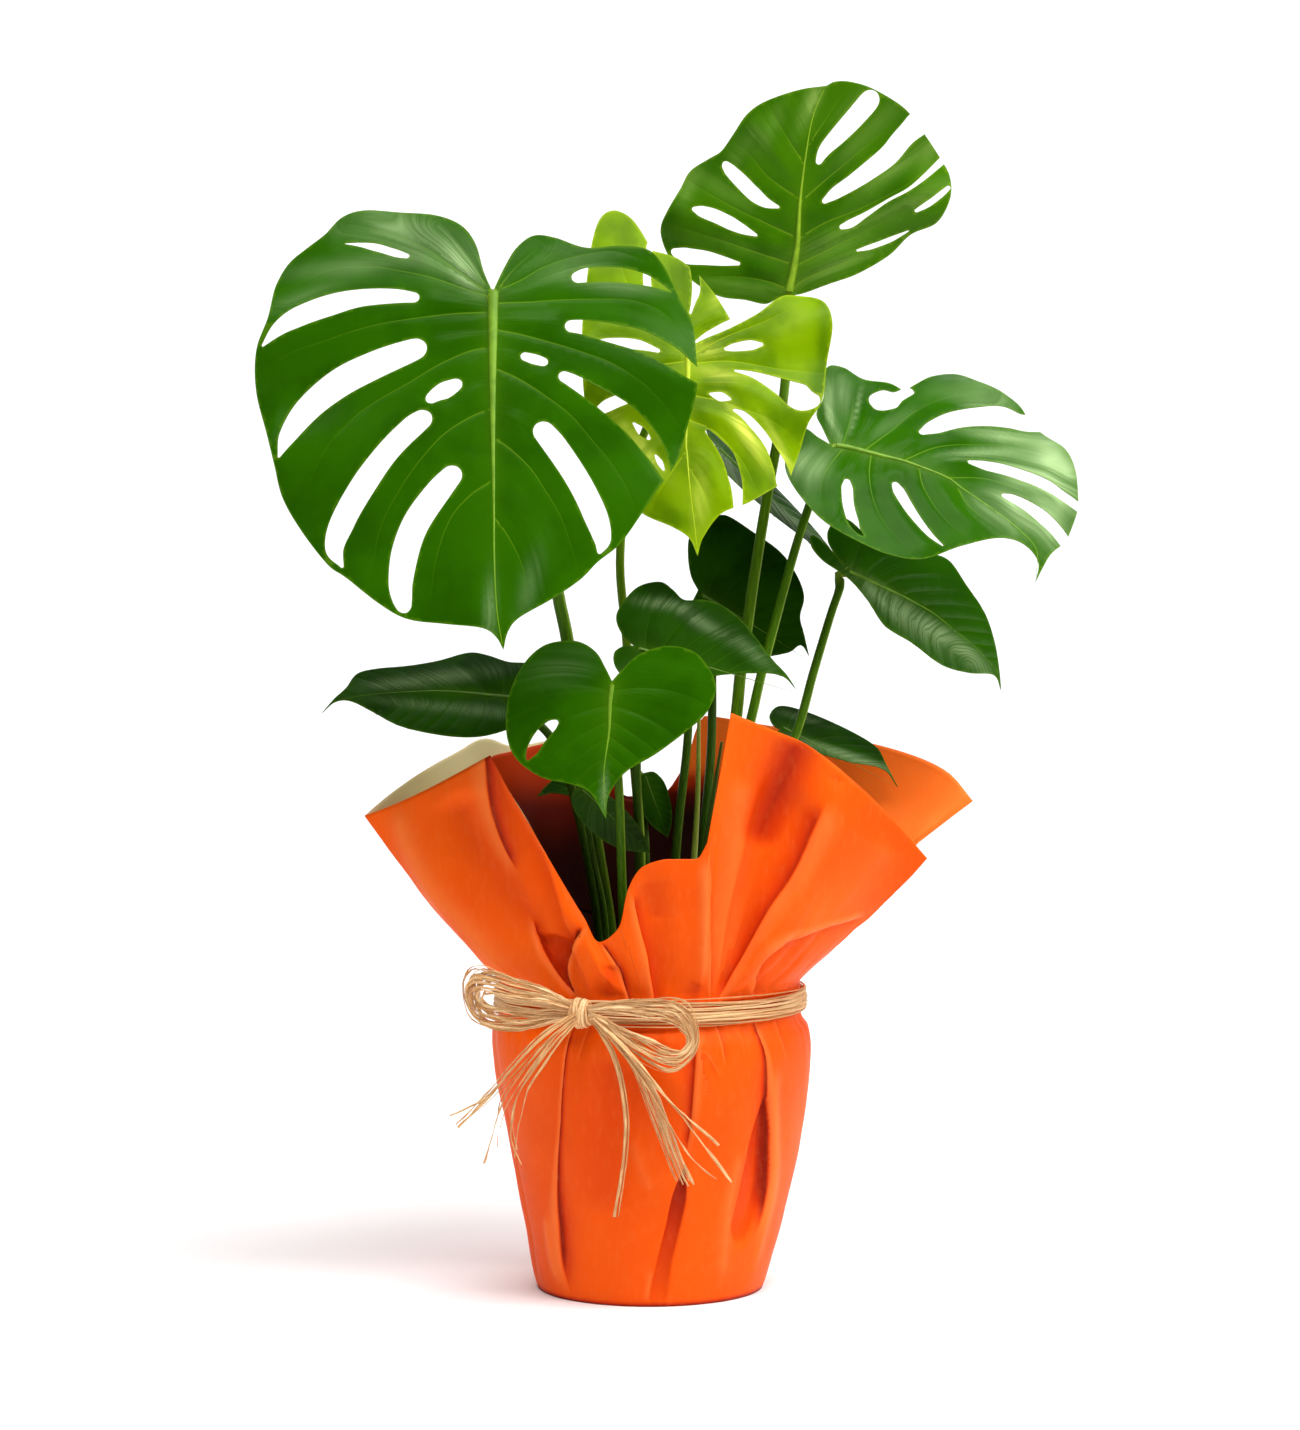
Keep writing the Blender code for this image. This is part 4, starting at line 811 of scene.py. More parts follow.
young = dict(
    node="young", tone="fresh", attach=(688, 359), tip=(697.6, 556), depth=(-0.02, -0.068),
    facing=(0.1, -0.93, 0.35), rib=0.002, roll=-0.012, fold=0.01, droop=0.01, lift=-0.006, wave=0.005,
    foot=(-0.008, -0.002, 0.004), neck=0.0029,
    midrib=[(688, 357), (686, 440), (687, 455), (690, 489), (694, 521), (697.6, 552)],
    leftVeins=[
        [(686, 354), (680, 320), (672, 285), (668, 264)],
        [(685, 356), (660, 325), (630, 290), (612, 240)],
        [(684, 362), (655, 366), (620, 372), (590, 385)],
        [(686, 410), (655, 425), (630, 445), (605, 465)],
        [(687, 450), (670, 475), (655, 500), (650, 516)],
    ],
    rightVeins=[
        [(690, 352), (705, 338), (725, 330)],
        [(691, 356), (725, 338), (765, 322), (800, 305)],
        [(691, 364), (730, 362), (780, 370), (822, 374)],
        [(689, 395), (720, 402), (765, 418), (798, 440)],
        [(688, 420), (715, 432), (742, 462), (758, 494)],
        [(690, 470), (702, 490), (712, 515)],
    ],
    margin=[
        [(689, 347), (703, 335), (718, 326)],
        [(730, 320), (715, 296)],
        [(697, 274), (676, 259)],
        [(652, 252), (640, 231), (629, 218), (614, 212), (601, 219), (593, 240), (587, 280), (582, 340),
         (584, 395), (596, 445), (622, 492), (643, 514), (672, 527), (689, 538)],
        [(697.6, 556), (703, 538), (721, 514), (748, 503)],
        [(773, 489)],
        [(790, 478), (800, 450), (808, 424), (822, 400), (827, 360), (832, 324), (822, 302), (797, 297),
         (780, 298), (758, 314), (730, 329), (706, 339)],
    ],
    cuts=[
        [(690, 315, 2), (693, 304, 4), (696, 291, 8), (695, 276, 8), (693, 266, 8)],
        [(655, 330, 3), (649, 300, 8), (647, 275, 8), (650, 244, 6)],
        [(724, 350, 3), (735, 348, 9), (750, 346, 11), (763, 345, 3)],
        [(734, 371, 2), (755, 376, 8), (780, 387, 20), (800, 397, 32), (812, 399, 22), (819, 397, 6)],
        [(733, 410, 3), (743, 415, 7), (756, 428, 9), (768, 444, 9), (780, 467, 14), (786, 490, 18)],
        [(709, 394, 2), (720, 397, 10), (731, 400, 2)],
        [(706, 430, 4), (718, 443, 9), (728, 457, 13), (734, 475, 13), (737, 490, 11), (738, 512, 8)],
        [(633, 423, 2), (642, 432, 9), (650, 440, 3)],
        [(655, 455, 2), (660, 463, 6), (664, 471, 2)],
        [(660, 352, 4), (635, 345, 12), (606, 345, 14), (590, 349, 6)],
        [(664, 395, 4), (640, 395, 10), (610, 405, 13), (592, 417, 5)],
    ],
    sheenAndShade=[
        (745, 432, 34, 6, -58, 0.85), (778, 446, 24, 4, -62, 0.95), (700, 500, 30, 8, 90, 0.35),
        (796, 320, 24, 12, 20, 0.05), (724, 288, 20, 6, 60, 0.45), (640, 446, 30, 6, -50, 0.6),
        (724, 376, 26, 6, -12, 0.4), (705, 350, 16, 8, 0, 0.4), (676, 276, 17, 20, 60, -0.75),
        (823, 345, 50, 7, 88, -0.85), (817, 392, 22, 7, 80, -0.8), (615, 228, 16, 10, 0, -0.35),
        (600, 330, 40, 10, 90, -0.45), (705, 425, 30, 8, -65, -0.45), (655, 500, 24, 8, -40, -0.35),
        (762, 400, 26, 6, -35, -0.35), (672, 330, 22, 8, -60, -0.4), (785, 375, 30, 6, -10, -0.3),
    ],
    route=[
        (641, 860, 0.0), (633, 740, 0.002), (627, 640, 0.003), (620.5, 560, 0.004), (630, 480, 0.006),
        (655, 410, 0.004),
    ],
)

top = dict(
    node="top", tone="bright", attach=(789, 287), tip=(826, 88), depth=(0.04, 0.022),
    facing=(-0.1, -0.95, 0.28), rib=0.003, roll=-0.01, fold=0.01, droop=-0.004, lift=-0.004, wave=0.005,
    foot=(0.034, 0.002, 0.0056), neck=0.0033,
    midrib=[(789, 292), (797, 249), (800, 200), (807, 146), (813, 117), (822, 95), (826, 89)],
    leftVeins=[
        [(783, 288), (765, 282), (740, 278), (705, 278)],
        [(788, 264), (760, 255), (725, 243), (690, 232), (668, 226)],
        [(792, 237), (760, 222), (735, 210), (700, 190), (686, 180)],
        [(797, 199), (780, 188), (765, 176), (752, 160), (732, 142)],
        [(803, 165), (790, 145), (775, 120), (768, 106)],
    ],
    rightVeins=[
        [(793, 290), (805, 280), (840, 265), (870, 255)],
        [(795, 267), (830, 250), (870, 230), (905, 210)],
        [(798, 240), (825, 224), (860, 210), (900, 190), (920, 175), (938, 160)],
        [(802, 202), (820, 186), (845, 165), (880, 135), (898, 112)],
        [(807, 150), (818, 132), (834, 108), (845, 92)],
    ],
    margin=[
        [(787, 296), (778, 299), (765, 305), (745, 301), (718, 297), (691, 281), (670, 259), (662, 241),
         (661, 227), (668, 211), (680, 191), (690, 173), (708, 161), (721, 153), (733, 136), (747, 116),
         (766, 103), (799, 92)],
        [(826, 88), (834, 84), (849, 84), (872, 91), (903, 110), (922, 134), (938, 158), (949, 179),
         (949, 201), (936, 224), (910, 236), (888, 257), (857, 275), (829, 285), (801, 295)],
    ],
    cuts=[
        [(779, 209, 2), (765, 204, 10), (753, 195, 14), (741, 183, 14), (730, 172, 12), (723, 164, 6)],
        [(692, 210, 3), (702, 213, 11), (714, 217, 13), (727, 223, 13), (741, 230, 10), (757, 237, 2)],
        [(671, 252, 5), (686, 257, 16), (705, 259, 14), (722, 262, 10), (740, 265, 3)],
        [(856, 252, 2), (872, 247.5, 5), (888, 241.5, 5), (900, 236, 3), (908, 232, 1)],
        [(914, 213, 3), (928, 205, 6), (940, 196, 6), (949, 188, 4)],
        [(839, 229, 4), (850, 225, 8), (866, 215.5, 5), (888, 201.5, 2.5), (906, 192, 3), (922, 180, 5),
         (946, 158, 8)],
        [(822, 204, 4), (836, 194, 12), (852, 184, 15), (869, 172, 18), (888, 157, 20), (903, 139, 20),
         (925, 118, 28)],
        [(817, 166, 5), (824, 152, 12), (838, 137, 17), (852, 122, 19), (866, 106, 20), (875, 94, 16)],
    ],
    sheenAndShade=[
        (812, 104, 22, 6, 68, 0.75), (800, 120, 26, 5, 75, 0.18), (771, 130, 26, 7, 65, 0.28),
        (744, 148, 24, 8, 55, 0.36), (725, 192, 40, 9, -32, 0.2), (688, 188, 20, 8, 70, 0.32),
        (690, 240, 34, 8, -14, 0.18), (745, 250, 40, 6, -20, 0.14), (862, 140, 44, 8, 46, 0.5),
        (850, 108, 28, 6, 52, 0.25), (895, 168, 44, 8, 38, 0.45), (930, 150, 24, 9, 70, 0.32),
        (905, 208, 50, 8, 28, 0.36), (832, 244, 40, 12, 22, 0.36), (835, 268, 44, 8, 24, 0.5),
        (740, 289, 44, 7, -6, 0.36), (780, 215, 30, 16, 60, -0.35), (820, 205, 24, 10, 45, -0.3),
    ],
    route=[
        (726, 800, 0.01), (737, 715, 0.016), (741, 674, 0.02), (748, 625, 0.024), (755, 575, 0.028),
        (767, 500, 0.036), (781, 420, 0.044), (788, 350, 0.052),
    ],
)

right = dict(
    node="right", tone="deep", attach=(836, 448), tip=(1035, 583), depth=(0.02, -0.022),
    facing=(0.15, -0.76, 0.62), rib=0.0023, roll=-0.012, fold=0.006, droop=0.012, lift=-0.006, wave=0.005,
    foot=(0.048, -0.004, 0.0044), neck=0.0031,
    midrib=[
        (836, 446), (849, 448), (869, 453), (889, 458), (902, 461), (922, 468), (947, 478), (961, 488),
        (980, 501), (1000, 515), (1020, 531), (1036, 550), (1036, 576),
    ],
    leftVeins=[
        [(842, 450), (830, 465), (822, 480), (820, 500)],
        [(871, 455), (869, 475), (873, 500), (885, 525), (905, 548)],
        [(919, 468), (922, 485), (935, 508), (950, 525), (965, 538)],
        [(958, 490), (968, 506), (985, 520), (1002, 532)],
    ],
    rightVeins=[
        [(842, 447), (850, 420), (855, 385)],
        [(865, 450), (890, 432), (915, 412), (945, 398), (985, 394)],
        [(903, 461), (935, 448), (970, 445), (1010, 447), (1045, 455), (1068, 466)],
        [(948, 478), (990, 480), (1030, 495), (1055, 508), (1072, 524)],
    ],
    margin=[
        [(830, 445), (822, 428), (816, 414), (823, 398), (826, 369), (842, 368), (863, 380), (889, 384)],
        [(904, 392), (915, 385), (932, 377), (955, 375), (980, 383), (1006, 396), (1020, 408)],
        [(1030, 424), (1047, 438), (1064, 449), (1075, 472)],
        [(1078, 505), (1075, 518)],
        [(1066, 542), (1051, 554), (1042, 569)],
        [(1035, 583), (1038, 562), (1023, 544), (998, 538), (961, 546), (922, 559), (887, 554), (853, 539),
         (820, 518), (797, 492), (785, 468), (789, 446), (803, 429), (818, 438)],
    ],
    cuts=[
        [(875, 410, 12), (880, 403, 25), (888, 400, 26), (898, 397, 13), (912, 390, 11)],
        [(919, 434, 5), (935, 427, 18), (955, 420, 22), (980, 417, 23), (1005, 418, 25), (1024, 424, 22),
         (1046, 424, 27)],
        [(967, 462, 4), (985, 466, 13), (1004, 470, 16), (1023, 476, 17), (1043, 484, 16), (1062, 496, 13),
         (1088, 515, 13)],
        [(1001, 495, 5), (1013, 499, 12), (1028, 507, 15), (1043, 518, 18), (1057, 532, 17), (1070, 550, 15)],
        [(847, 479, 5), (847, 490, 12), (848, 504, 12), (852, 519, 12), (857, 530, 7), (863, 536, 2)],
        [(894, 482, 6), (899, 492, 13), (908, 507, 12), (918, 521, 10), (930, 535, 7), (943, 546, 2)],
    ],
    sheenAndShade=[
        (838, 386, 22, 8, 90, 0.36), (832, 422, 18, 3.5, -72, 0.9), (855, 415, 26, 3, 74, 0.5),
        (892, 424, 30, 7, 36, 0.3), (975, 398, 36, 9, -8, 0.62), (938, 393, 24, 7, 14, 0.04),
        (1012, 438, 44, 5, -8, 0.78), (1056, 464, 26, 12, -48, 0.95), (1034, 482, 34, 7, -24, 0.85),
        (1024, 514, 30, 9, -36, 0.8), (1048, 538, 22, 8, -70, 0.58), (985, 512, 34, 9, -34, 0.3),
        (1050, 502, 20, 9, -60, 0.8), (802, 467, 18, 12, 30, 0.5), (970, 455, 44, 5, 4, 0.5),
        (920, 480, 140, 80, -15, 0.06), (1036, 492, 42, 36, -40, 0.68), (812, 466, 22, 22, 0, 0.3),
        (830, 398, 16, 16, 0, 0.34), (983, 386, 24, 8, 0, 0.5), (908, 490, 60, 50, -15, -0.4),
        (905, 470, 34, 12, -20, -0.25), (930, 425, 26, 12, 34, -0.35), (872, 398, 16, 12, 60, -0.2),
    ],
    route=[
        (738, 800, 0.006), (756, 700, 0.012), (773, 632, 0.018), (791, 565, 0.026), (803, 525, 0.032),
        (817, 485, 0.036),
    ],
)

rightLow = dict(
    node="right_low", tone="deep", attach=(849, 571), tip=(1001, 690), depth=(0.062, 0.07),
    facing=(0.25, -0.8, 0.54), rib=0.0015, quilt=0.0005, veinCount=10, veinPaint=0.45, roll=-0.006,
    fold=-0.003, droop=0.004, foot=(0.049, 0.014, 0.0044), neck=0.003,
    midrib=[
        (849, 571), (860, 576), (881, 586), (908, 599), (934, 614), (955, 631), (976, 648), (997, 672),
        (1001, 686),
    ],
    margin=[
        [(843, 565), (834, 553), (828, 542), (828, 530), (836, 520), (846, 519), (857, 527), (868, 539),
         (884, 549), (906, 554), (930, 554), (949, 561), (966, 585), (984, 612), (994, 640), (999, 668)],
        [(1001, 690), (994, 675), (970, 673), (942, 665), (912, 643), (885, 626), (868, 601), (852, 582),
         (838, 571), (822, 560), (811, 546), (812, 535), (826, 545)],
    ],
    sheenAndShade=[
        (905, 614, 52, 11, -36, 0.8), (950, 640, 34, 7, -38, 0.5), (880, 600, 22, 4, -48, 0.45),
        (975, 660, 22, 6, -50, 0.4), (930, 580, 60, 22, -34, -0.6),
    ],
    route=[(764, 800, 0.03), (796, 735, 0.04), (814, 672, 0.05), (831, 615, 0.058), (840, 588, 0.064)],
)

centreBack = dict(
    node="centre_back", tone="dark", attach=(705, 597), tip=(809, 656), depth=(0.06, 0.058),
    facing=(0.08, -0.86, 0.5), quilt=0.0005, veinPaint=0.35, roll=-0.01, fold=0.01, droop=0.006,
    foot=(0.013, 0.026, 0.004), neck=0.0028,
    margin=[
        [(698, 590), (691, 576), (688, 557), (689, 538), (697, 526), (712, 518), (727, 516), (754, 533),
         (781, 553), (797, 576), (804, 597), (800, 617), (804, 634)],
        [(809, 656), (801, 645), (790, 652), (772, 656), (752, 660), (728, 655), (706, 640), (692, 622),
         (691, 606)],
    ],
    route=[(676, 860, 0.032), (688, 740, 0.044), (690, 660, 0.062), (694, 620, 0.072)],
)

centre = dict(
    node="centre", tone="dark", attach=(643, 650), tip=(796, 689), depth=(-0.058, -0.062),
    facing=(0.08, -0.8, 0.6), quilt=0.0005, veinPaint=0.5, roll=-0.008, fold=0.01, droop=0.004,
    foot=(-0.002, -0.024, 0.004), neck=0.0029,
    margin=[
        [(634, 646), (622, 634), (616, 618), (622, 604), (638, 587), (660, 582), (673, 590), (684, 600),
         (704, 600), (722, 606), (742, 621), (756, 638), (772, 659), (786, 674)],
        [(796, 689), (782, 676), (756, 673), (715, 676), (690, 688), (660, 692), (632, 684), (616, 668),
         (614, 653), (624, 646)],
    ],
    sheenAndShade=[
        (660, 604, 26, 5, -8, 0.55), (700, 622, 34, 6, -32, 0.4), (650, 668, 26, 7, 10, 0.3),
        (752, 652, 24, 6, -40, 0.35),
    ],
    route=[(640, 860, -0.026), (637, 760, -0.03), (639, 690, -0.036)],
)

heart = dict(
    node="heart", tone="deep", attach=(612, 689), tip=(606, 819), depth=(-0.088, -0.108),
    facing=(0.0, -0.93, 0.36), rib=0.0017, quilt=0.0007, veinCount=7, veinPaint=0.4, roll=-0.008,
    fold=0.007, droop=0.006, lift=-0.004, foot=(-0.014, -0.034, 0.0038), neck=0.0028,
    midrib=[(612, 685), (610, 704), (609, 732), (604, 772), (605, 812)],
    margin=[
        [(612, 681), (605, 667), (596, 652), (580, 642), (562, 641), (543, 646), (526, 661), (512, 686),
         (506, 714), (508, 742), (519, 762), (543, 778), (570, 784), (590, 793)],
        [(606, 819), (609, 795), (626, 772), (656, 754), (688, 730), (707, 712), (716, 689), (710, 670),
         (694, 652), (668, 646), (640, 654), (622, 670)],
    ],
    cuts=[
        [(558, 721, 4), (551, 726, 11), (541, 736, 13), (533, 749, 12), (527, 760, 3)],
    ],
    sheenAndShade=[
        (560, 668, 34, 16, 10, 0.14), (664, 664, 30, 8, -8, 0.08), (604, 792, 20, 3, 88, 0.4),
        (656, 690, 34, 26, 0, -0.25),
    ],
    route=[(623, 900, -0.06), (620, 800, -0.075), (616, 740, -0.08)],
)

left = dict(
    node="left", tone="dark", attach=(504, 698), tip=(322, 713), depth=(-0.036, -0.05),
    facing=(-0.1, -0.6, 0.8), rib=0.0014, quilt=0.0006, veinCount=9, veinPaint=0.5, roll=-0.008, fold=0.008,
    droop=0.003, foot=(-0.037, -0.001, 0.004), neck=0.0029,
    midrib=[(509, 697), (470, 693), (439, 691), (408, 692), (377, 694), (349, 698), (334, 702), (324, 711)],
    margin=[
        [(512, 697), (527, 690), (537, 675), (530, 664), (508, 662), (486, 655), (468, 653), (438, 661),
         (408, 666), (376, 669), (357, 674), (346, 688), (334, 699)],
        [(322, 713), (335, 702), (350, 701), (371, 711), (400, 726), (440, 735), (475, 737), (503, 731),
         (520, 722), (524, 710)],
    ],
    sheenAndShade=[
        (450, 676, 52, 7, 6, 0.45), (395, 684, 34, 5, 4, 0.45), (430, 706, 60, 5, -6, 0.35),
        (490, 712, 26, 6, -8, 0.3),
    ],
    route=[(600, 940, 0.0), (580, 820, 0.0), (556, 745, -0.006), (525, 714, -0.018)],
)

backRight = dict(
    node="back_right", tone="dark", attach=(722, 452), tip=(843, 566), depth=(0.088, 0.1),
    facing=(0.66, -0.24, 0.72), heart=0.046, quilt=0.0005, veinPaint=0.5, roll=-0.004, fold=0.004,
    foot=(0.027, 0.031, 0.004), neck=0.0028,
    sheenAndShade=[
        (726, 466, 30, 7, -58, 0.6), (792, 520, 46, 5, -36, 0.62), (745, 492, 18, 5, -40, 0.45),
        (784, 490, 70, 12, -38, -0.7),
    ],
    route=[(702, 860, 0.045), (712, 740, 0.065), (712, 600, 0.095), (714, 510, 0.11), (717, 470, 0.104)],
)

rimRight = dict(
    node="rim_right", tone="dark", attach=(786, 729), tip=(898, 787), depth=(0.066, 0.056),
    facing=(0.2, -0.4, 0.9), rib=0.0011, quilt=0.0004, veinPaint=0.6, roll=-0.003, fold=0.006,
    foot=(0.04, 0.034, 0.0036), neck=0.0026,
    margin=[
        [(781, 730), (773, 725), (770, 714), (782, 706), (812, 714), (850, 731), (876, 747), (886, 764)],
        [(898, 787), (883, 769), (850, 762), (812, 751), (788, 743), (775, 739), (770, 734)],
    ],
    sheenAndShade=[(850, 757, 46, 5, -20, 0.9), (800, 718, 22, 4, -16, 0.4), (820, 736, 40, 5, -18, -0.5)],
    route=[(728, 860, 0.046), (752, 780, 0.062), (770, 748, 0.072)],
)

innerLow = dict(
    node="inner_low", tone="dark", attach=(584, 791), tip=(650, 853), depth=(-0.044, -0.044),
    facing=(-0.1, -0.97, 0.22), rib=0.0008, quilt=0.0002, veinPaint=0.12, roll=-0.002, fold=0.004,
    foot=(-0.029, -0.031, 0.0026), neck=0.002, elbow=0.005,
    margin=[
        [(579, 787), (572, 794), (573, 808), (584, 824), (602, 840), (624, 850)],
        [(650, 853), (645, 838), (634, 820), (618, 803), (602, 791), (590, 784)],
    ],
    sheenAndShade=[(612, 820, 70, 50, 0, 0.14)],
    route=[(606, 930, -0.037), (594, 860, -0.038), (586, 815, -0.037)],
)

innerLeft = dict(
    node="inner_left", tone="dark", attach=(592, 782), tip=(537, 797), depth=(0.024, 0.02),
    facing=(0.1, -0.55, 0.83), rib=0.0008, quilt=0.0002, veinPaint=0.12, foot=(-0.036, 0.016, 0.0026),
    neck=0.002,
    margin=[
        [(600, 781), (596, 771), (580, 769), (560, 776), (546, 786)],
        [(537, 797), (552, 793), (572, 796), (590, 796), (602, 790)],
    ],
    route=[(598, 900, 0.022), (594, 830, 0.026)],
)

innerBack = dict(
    node="inner_back", tone="dark", attach=(646, 778), tip=(668, 838), depth=(0.05, 0.044),
    facing=(0.3, -0.8, 0.5), rib=0.0008, quilt=0.0002, veinPaint=0.12, foot=(0.0, 0.016, 0.0028), neck=0.002,
    margin=[
        [(644, 773), (637, 778), (634, 792), (640, 810), (652, 826)],
        [(668, 838), (672, 820), (670, 800), (664, 782), (654, 772)],
    ],
    route=[(648, 900, 0.03), (646, 830, 0.046)],
)

leaves = [frontLeft, young, top, right, rightLow, centreBack, centre, heart, left, backRight, rimRight,
          innerLow, innerLeft, innerBack]
glossOf = {"deep": 0.25, "dark": 0.33, "bright": 0.25, "fresh": 0.34}
shineOf = {"deep": 0.035, "dark": 0.006, "bright": 0.10, "fresh": 0.05}
leafFinishes = {
    tone: leafFinish("leaf" + tone.capitalize(), tone, glossOf[tone], shineOf[tone]) for tone in leafTones
}
undersideFinishes = {tone: undersideFinish("underside" + tone.capitalize(), tone) for tone in leafTones}
ribFinishes = {tone: ribFinish("rib" + tone.capitalize(), tone) for tone in leafTones}
stalkFinishes = {
    "deep": stalkFinish("stalkDeep", rgb(76, 116, 6), rgb(46, 82, 2), rgb(156, 186, 60)),
    "dark": stalkFinish("stalkDark", rgb(58, 96, 9), rgb(34, 63, 3), rgb(114, 144, 46)),
    "bright": stalkFinish("stalkBright", rgb(84, 120, 8), rgb(52, 86, 4), rgb(156, 186, 62)),
    "fresh": stalkFinish("stalkFresh", rgb(104, 142, 8), rgb(70, 108, 4), rgb(176, 202, 72)),
}
sweptTube = sweepRecipe()
for leaf in leaves:
    loops = [marginLoop(leaf)] + [cutLoop(leaf, cut) for cut in leaf.get("cuts", ())]
    midrib, veins = veinLines(leaf)
    makeBlade(leaf, loops, midrib, veins)
    makeStalk(leaf)
    makeRibs(leaf, loops, midrib, veins)
print("leaves:", len(leaves), "blades with stalks and ribs")


# Sheaths: young leaves still rolled up
sheaths = {
    # name: (foot x, foot y, foot radius, tip radius, route)
    "rolled_leaf_pale": (0.022, -0.008, 0.0036, 0.0012,
                         [(692, 900, 0.000), (698, 800, 0.004), (699, 730, 0.006), (700, 700, 0.006)]),
    "rolled_leaf_dark": (0.034, -0.013, 0.0040, 0.0010,
                         [(702, 900, -0.018), (706, 850, -0.024), (716, 780, -0.034), (722, 742, -0.040)]),
}
sheathFinishes = {
    "rolled_leaf_pale": stalkFinish("sheathPale", rgb(150, 168, 70), rgb(104, 126, 34), rgb(228, 224, 170)),
    "rolled_leaf_dark": stalkFinish("sheathDark", rgb(66, 92, 22), rgb(40, 62, 12), rgb(150, 160, 90)),
}
for node, (x, y, footRadius, tipRadius, route) in sheaths.items():
    line = stalkLine(x, y, atDepth(route))
    share = np.linspace(0, 1, len(line))
    radius = footRadius + (tipRadius - footRadius) * share**1.2
    guide = guideLines([(line, False)], along=share * 0.9, thick=radius)
    values = {"Sides": 14, "Groove": 0.42, "Flat": 0.75, "Material": sheathFinishes[node]}
    seat(sweptTube.run(guide, "sheath" + node.split("_")[2].capitalize(), **values), node, slot="leaf_sheath")


# Pot, soil and short stems keep their solids
def dress(node, material):
    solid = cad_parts[node]
    for place in solid.material_slots:
        place.material = material


pot = Finish("potPlastic", Roughness=0.5)
pot.set(Base_Color=pot.mix(pot.noise(40), rgb(30, 28, 27), rgb(44, 41, 38)))
pot.bump(pot.noise(900), 0.0002, 0.3)
dress("nursery_pot", pot.material)

bark = Finish("stemBark", Roughness=0.7)
rings = bark.noise(60, 3, (1.0, 1.0, 5.0))
bark.set(Base_Color=bark.mix(bark.step(rings, 0.35, 0.65), rgb(84, 92, 40), rgb(120, 104, 66)))
bark.bump(rings + bark.noise(700) * 0.4, 0.0008, 0.7)
for node in ("stem_a", "stem_b", "stem_c"):
    dress(node, bark.material)


def soilFinish(name, light):
    finish = Finish(name, Roughness=0.95, Specular_IOR_Level=0.2)
    speck = finish.noise(420, 4)
    dark = rgb(38, 26, 18)
    finish.set(Base_Color=finish.mix(finish.step(speck, 0.35, 0.75), dark, light))
    finish.bump(finish.noise(260, 4) + speck * 0.5, 0.0016, 0.8)
    return finish.material


dress("soil", soilFinish("pottingSoil", rgb(84, 60, 42)))

crumbs = {
    "radius": 0.087,  # how far out from the pot's axis they lie
    "size": (0.0009, 0.0026),
    "density": 34000.0,  # per square metre
    "seed": 7,
    "discSides": 48,
}


def crumbRecipe():
    recipe = Recipe("soilCrumbs", Density=1000.0, Smallest=0.001, Largest=0.002, Seed=1, Material=None)
    inputs = {"Mesh": recipe.start, "Density": recipe.size("Density"), "Seed": recipe.size("Seed")}
    points = recipe.add("GeometryNodeDistributePointsOnFaces", {}, inputs)
    grain = recipe.add("GeometryNodeMeshIcoSphere", {}, {"Radius": 1.0, "Subdivisions": 1})
    turns = {0: (0, 0, 0), 1: (6.28, 6.28, 6.28)}
    turn = recipe.add("FunctionNodeRandomValue", {"data_type": "FLOAT_VECTOR"}, turns)
    sizes = {2: recipe.size("Smallest"), 3: recipe.size("Largest")}
    size = recipe.add("FunctionNodeRandomValue", {}, sizes, out=1)
    inputs = {"Points": points, "Instance": grain, "Rotation": turn, "Scale": size}
    recipe.end(recipe.add("GeometryNodeInstanceOnPoints", {}, inputs))
    return recipe


def makeCrumbs():
    sides, radius = crumbs["discSides"], crumbs["radius"]
    around = np.linspace(0, math.tau, sides, endpoint=False)
    ring = [(radius * math.cos(a), radius * math.sin(a), stalk["soilTop"]) for a in around]
    disc = addPiece("disc", meshOf("disc", ring, (), [range(sides)]))
    low, high = crumbs["size"]
    values = {"Density": crumbs["density"], "Smallest": low, "Largest": high, "Seed": crumbs["seed"]}
    values["Material"] = soilFinish("crumbSoil", rgb(110, 82, 58))
    piece = crumbRecipe().run(disc, "soilCrumbs", **values)
    seat(piece, slot="potting_soil")


makeCrumbs()
print("pot, soil and stems dressed")


# Paper wrap
paperWrap = {
    "cut": (0.55, 0.55),  # the sheet before it was wrapped round the pot
    "profile": [(0.0, 0.0745), (0.006, 0.0765), (0.055, 0.0875), (0.110, 0.099), (0.160, 0.1055),
                (0.172, 0.1045), (0.181, 0.0995), (0.203, 0.0995)],  # height, radius
    "neck": (0.180, 0.203),  # where the raffia draws the paper in
    "lean": 0.0028,
    "wall": 0.0006,
    "bodyRow": 0.0042,
    "flareRows": 60,
    "footRings": 6,
    "footHollow": 0.0006,  # how far the base arches up between its rim and its middle
    "standing": 0.012,  # height over which folds and crumples begin
    "frontColumn": 0.72,  # degrees between columns, at the front and at the back
    "backColumn": 2.0,
    "gathers": 64,  # small creases that the tie makes
    "gatherDepth": 0.0014,
    "gatherReach": (0.022, 0.050),  # how far they run below and above the tie
    "neckKeeps": (0.012, 0.05, 0.40),  # half height of the tied band, and what it keeps of relief out and in
    "crumple": 0.0013,
    "crumpleWaves": 22,
    "crumplePitch": (18, 60),
    "front": (178, 15),  # degrees from the first to the second, where the drawn folds lie
    "frontEase": (187, 1),  # where they have faded in
    "warmInside": (300, 105),  # degrees over which the inside shows orange, not cream
    "insideDark": (0.240, 0.335),  # heights from the darkest to the lit part of the inside
    "seed": 3,
}
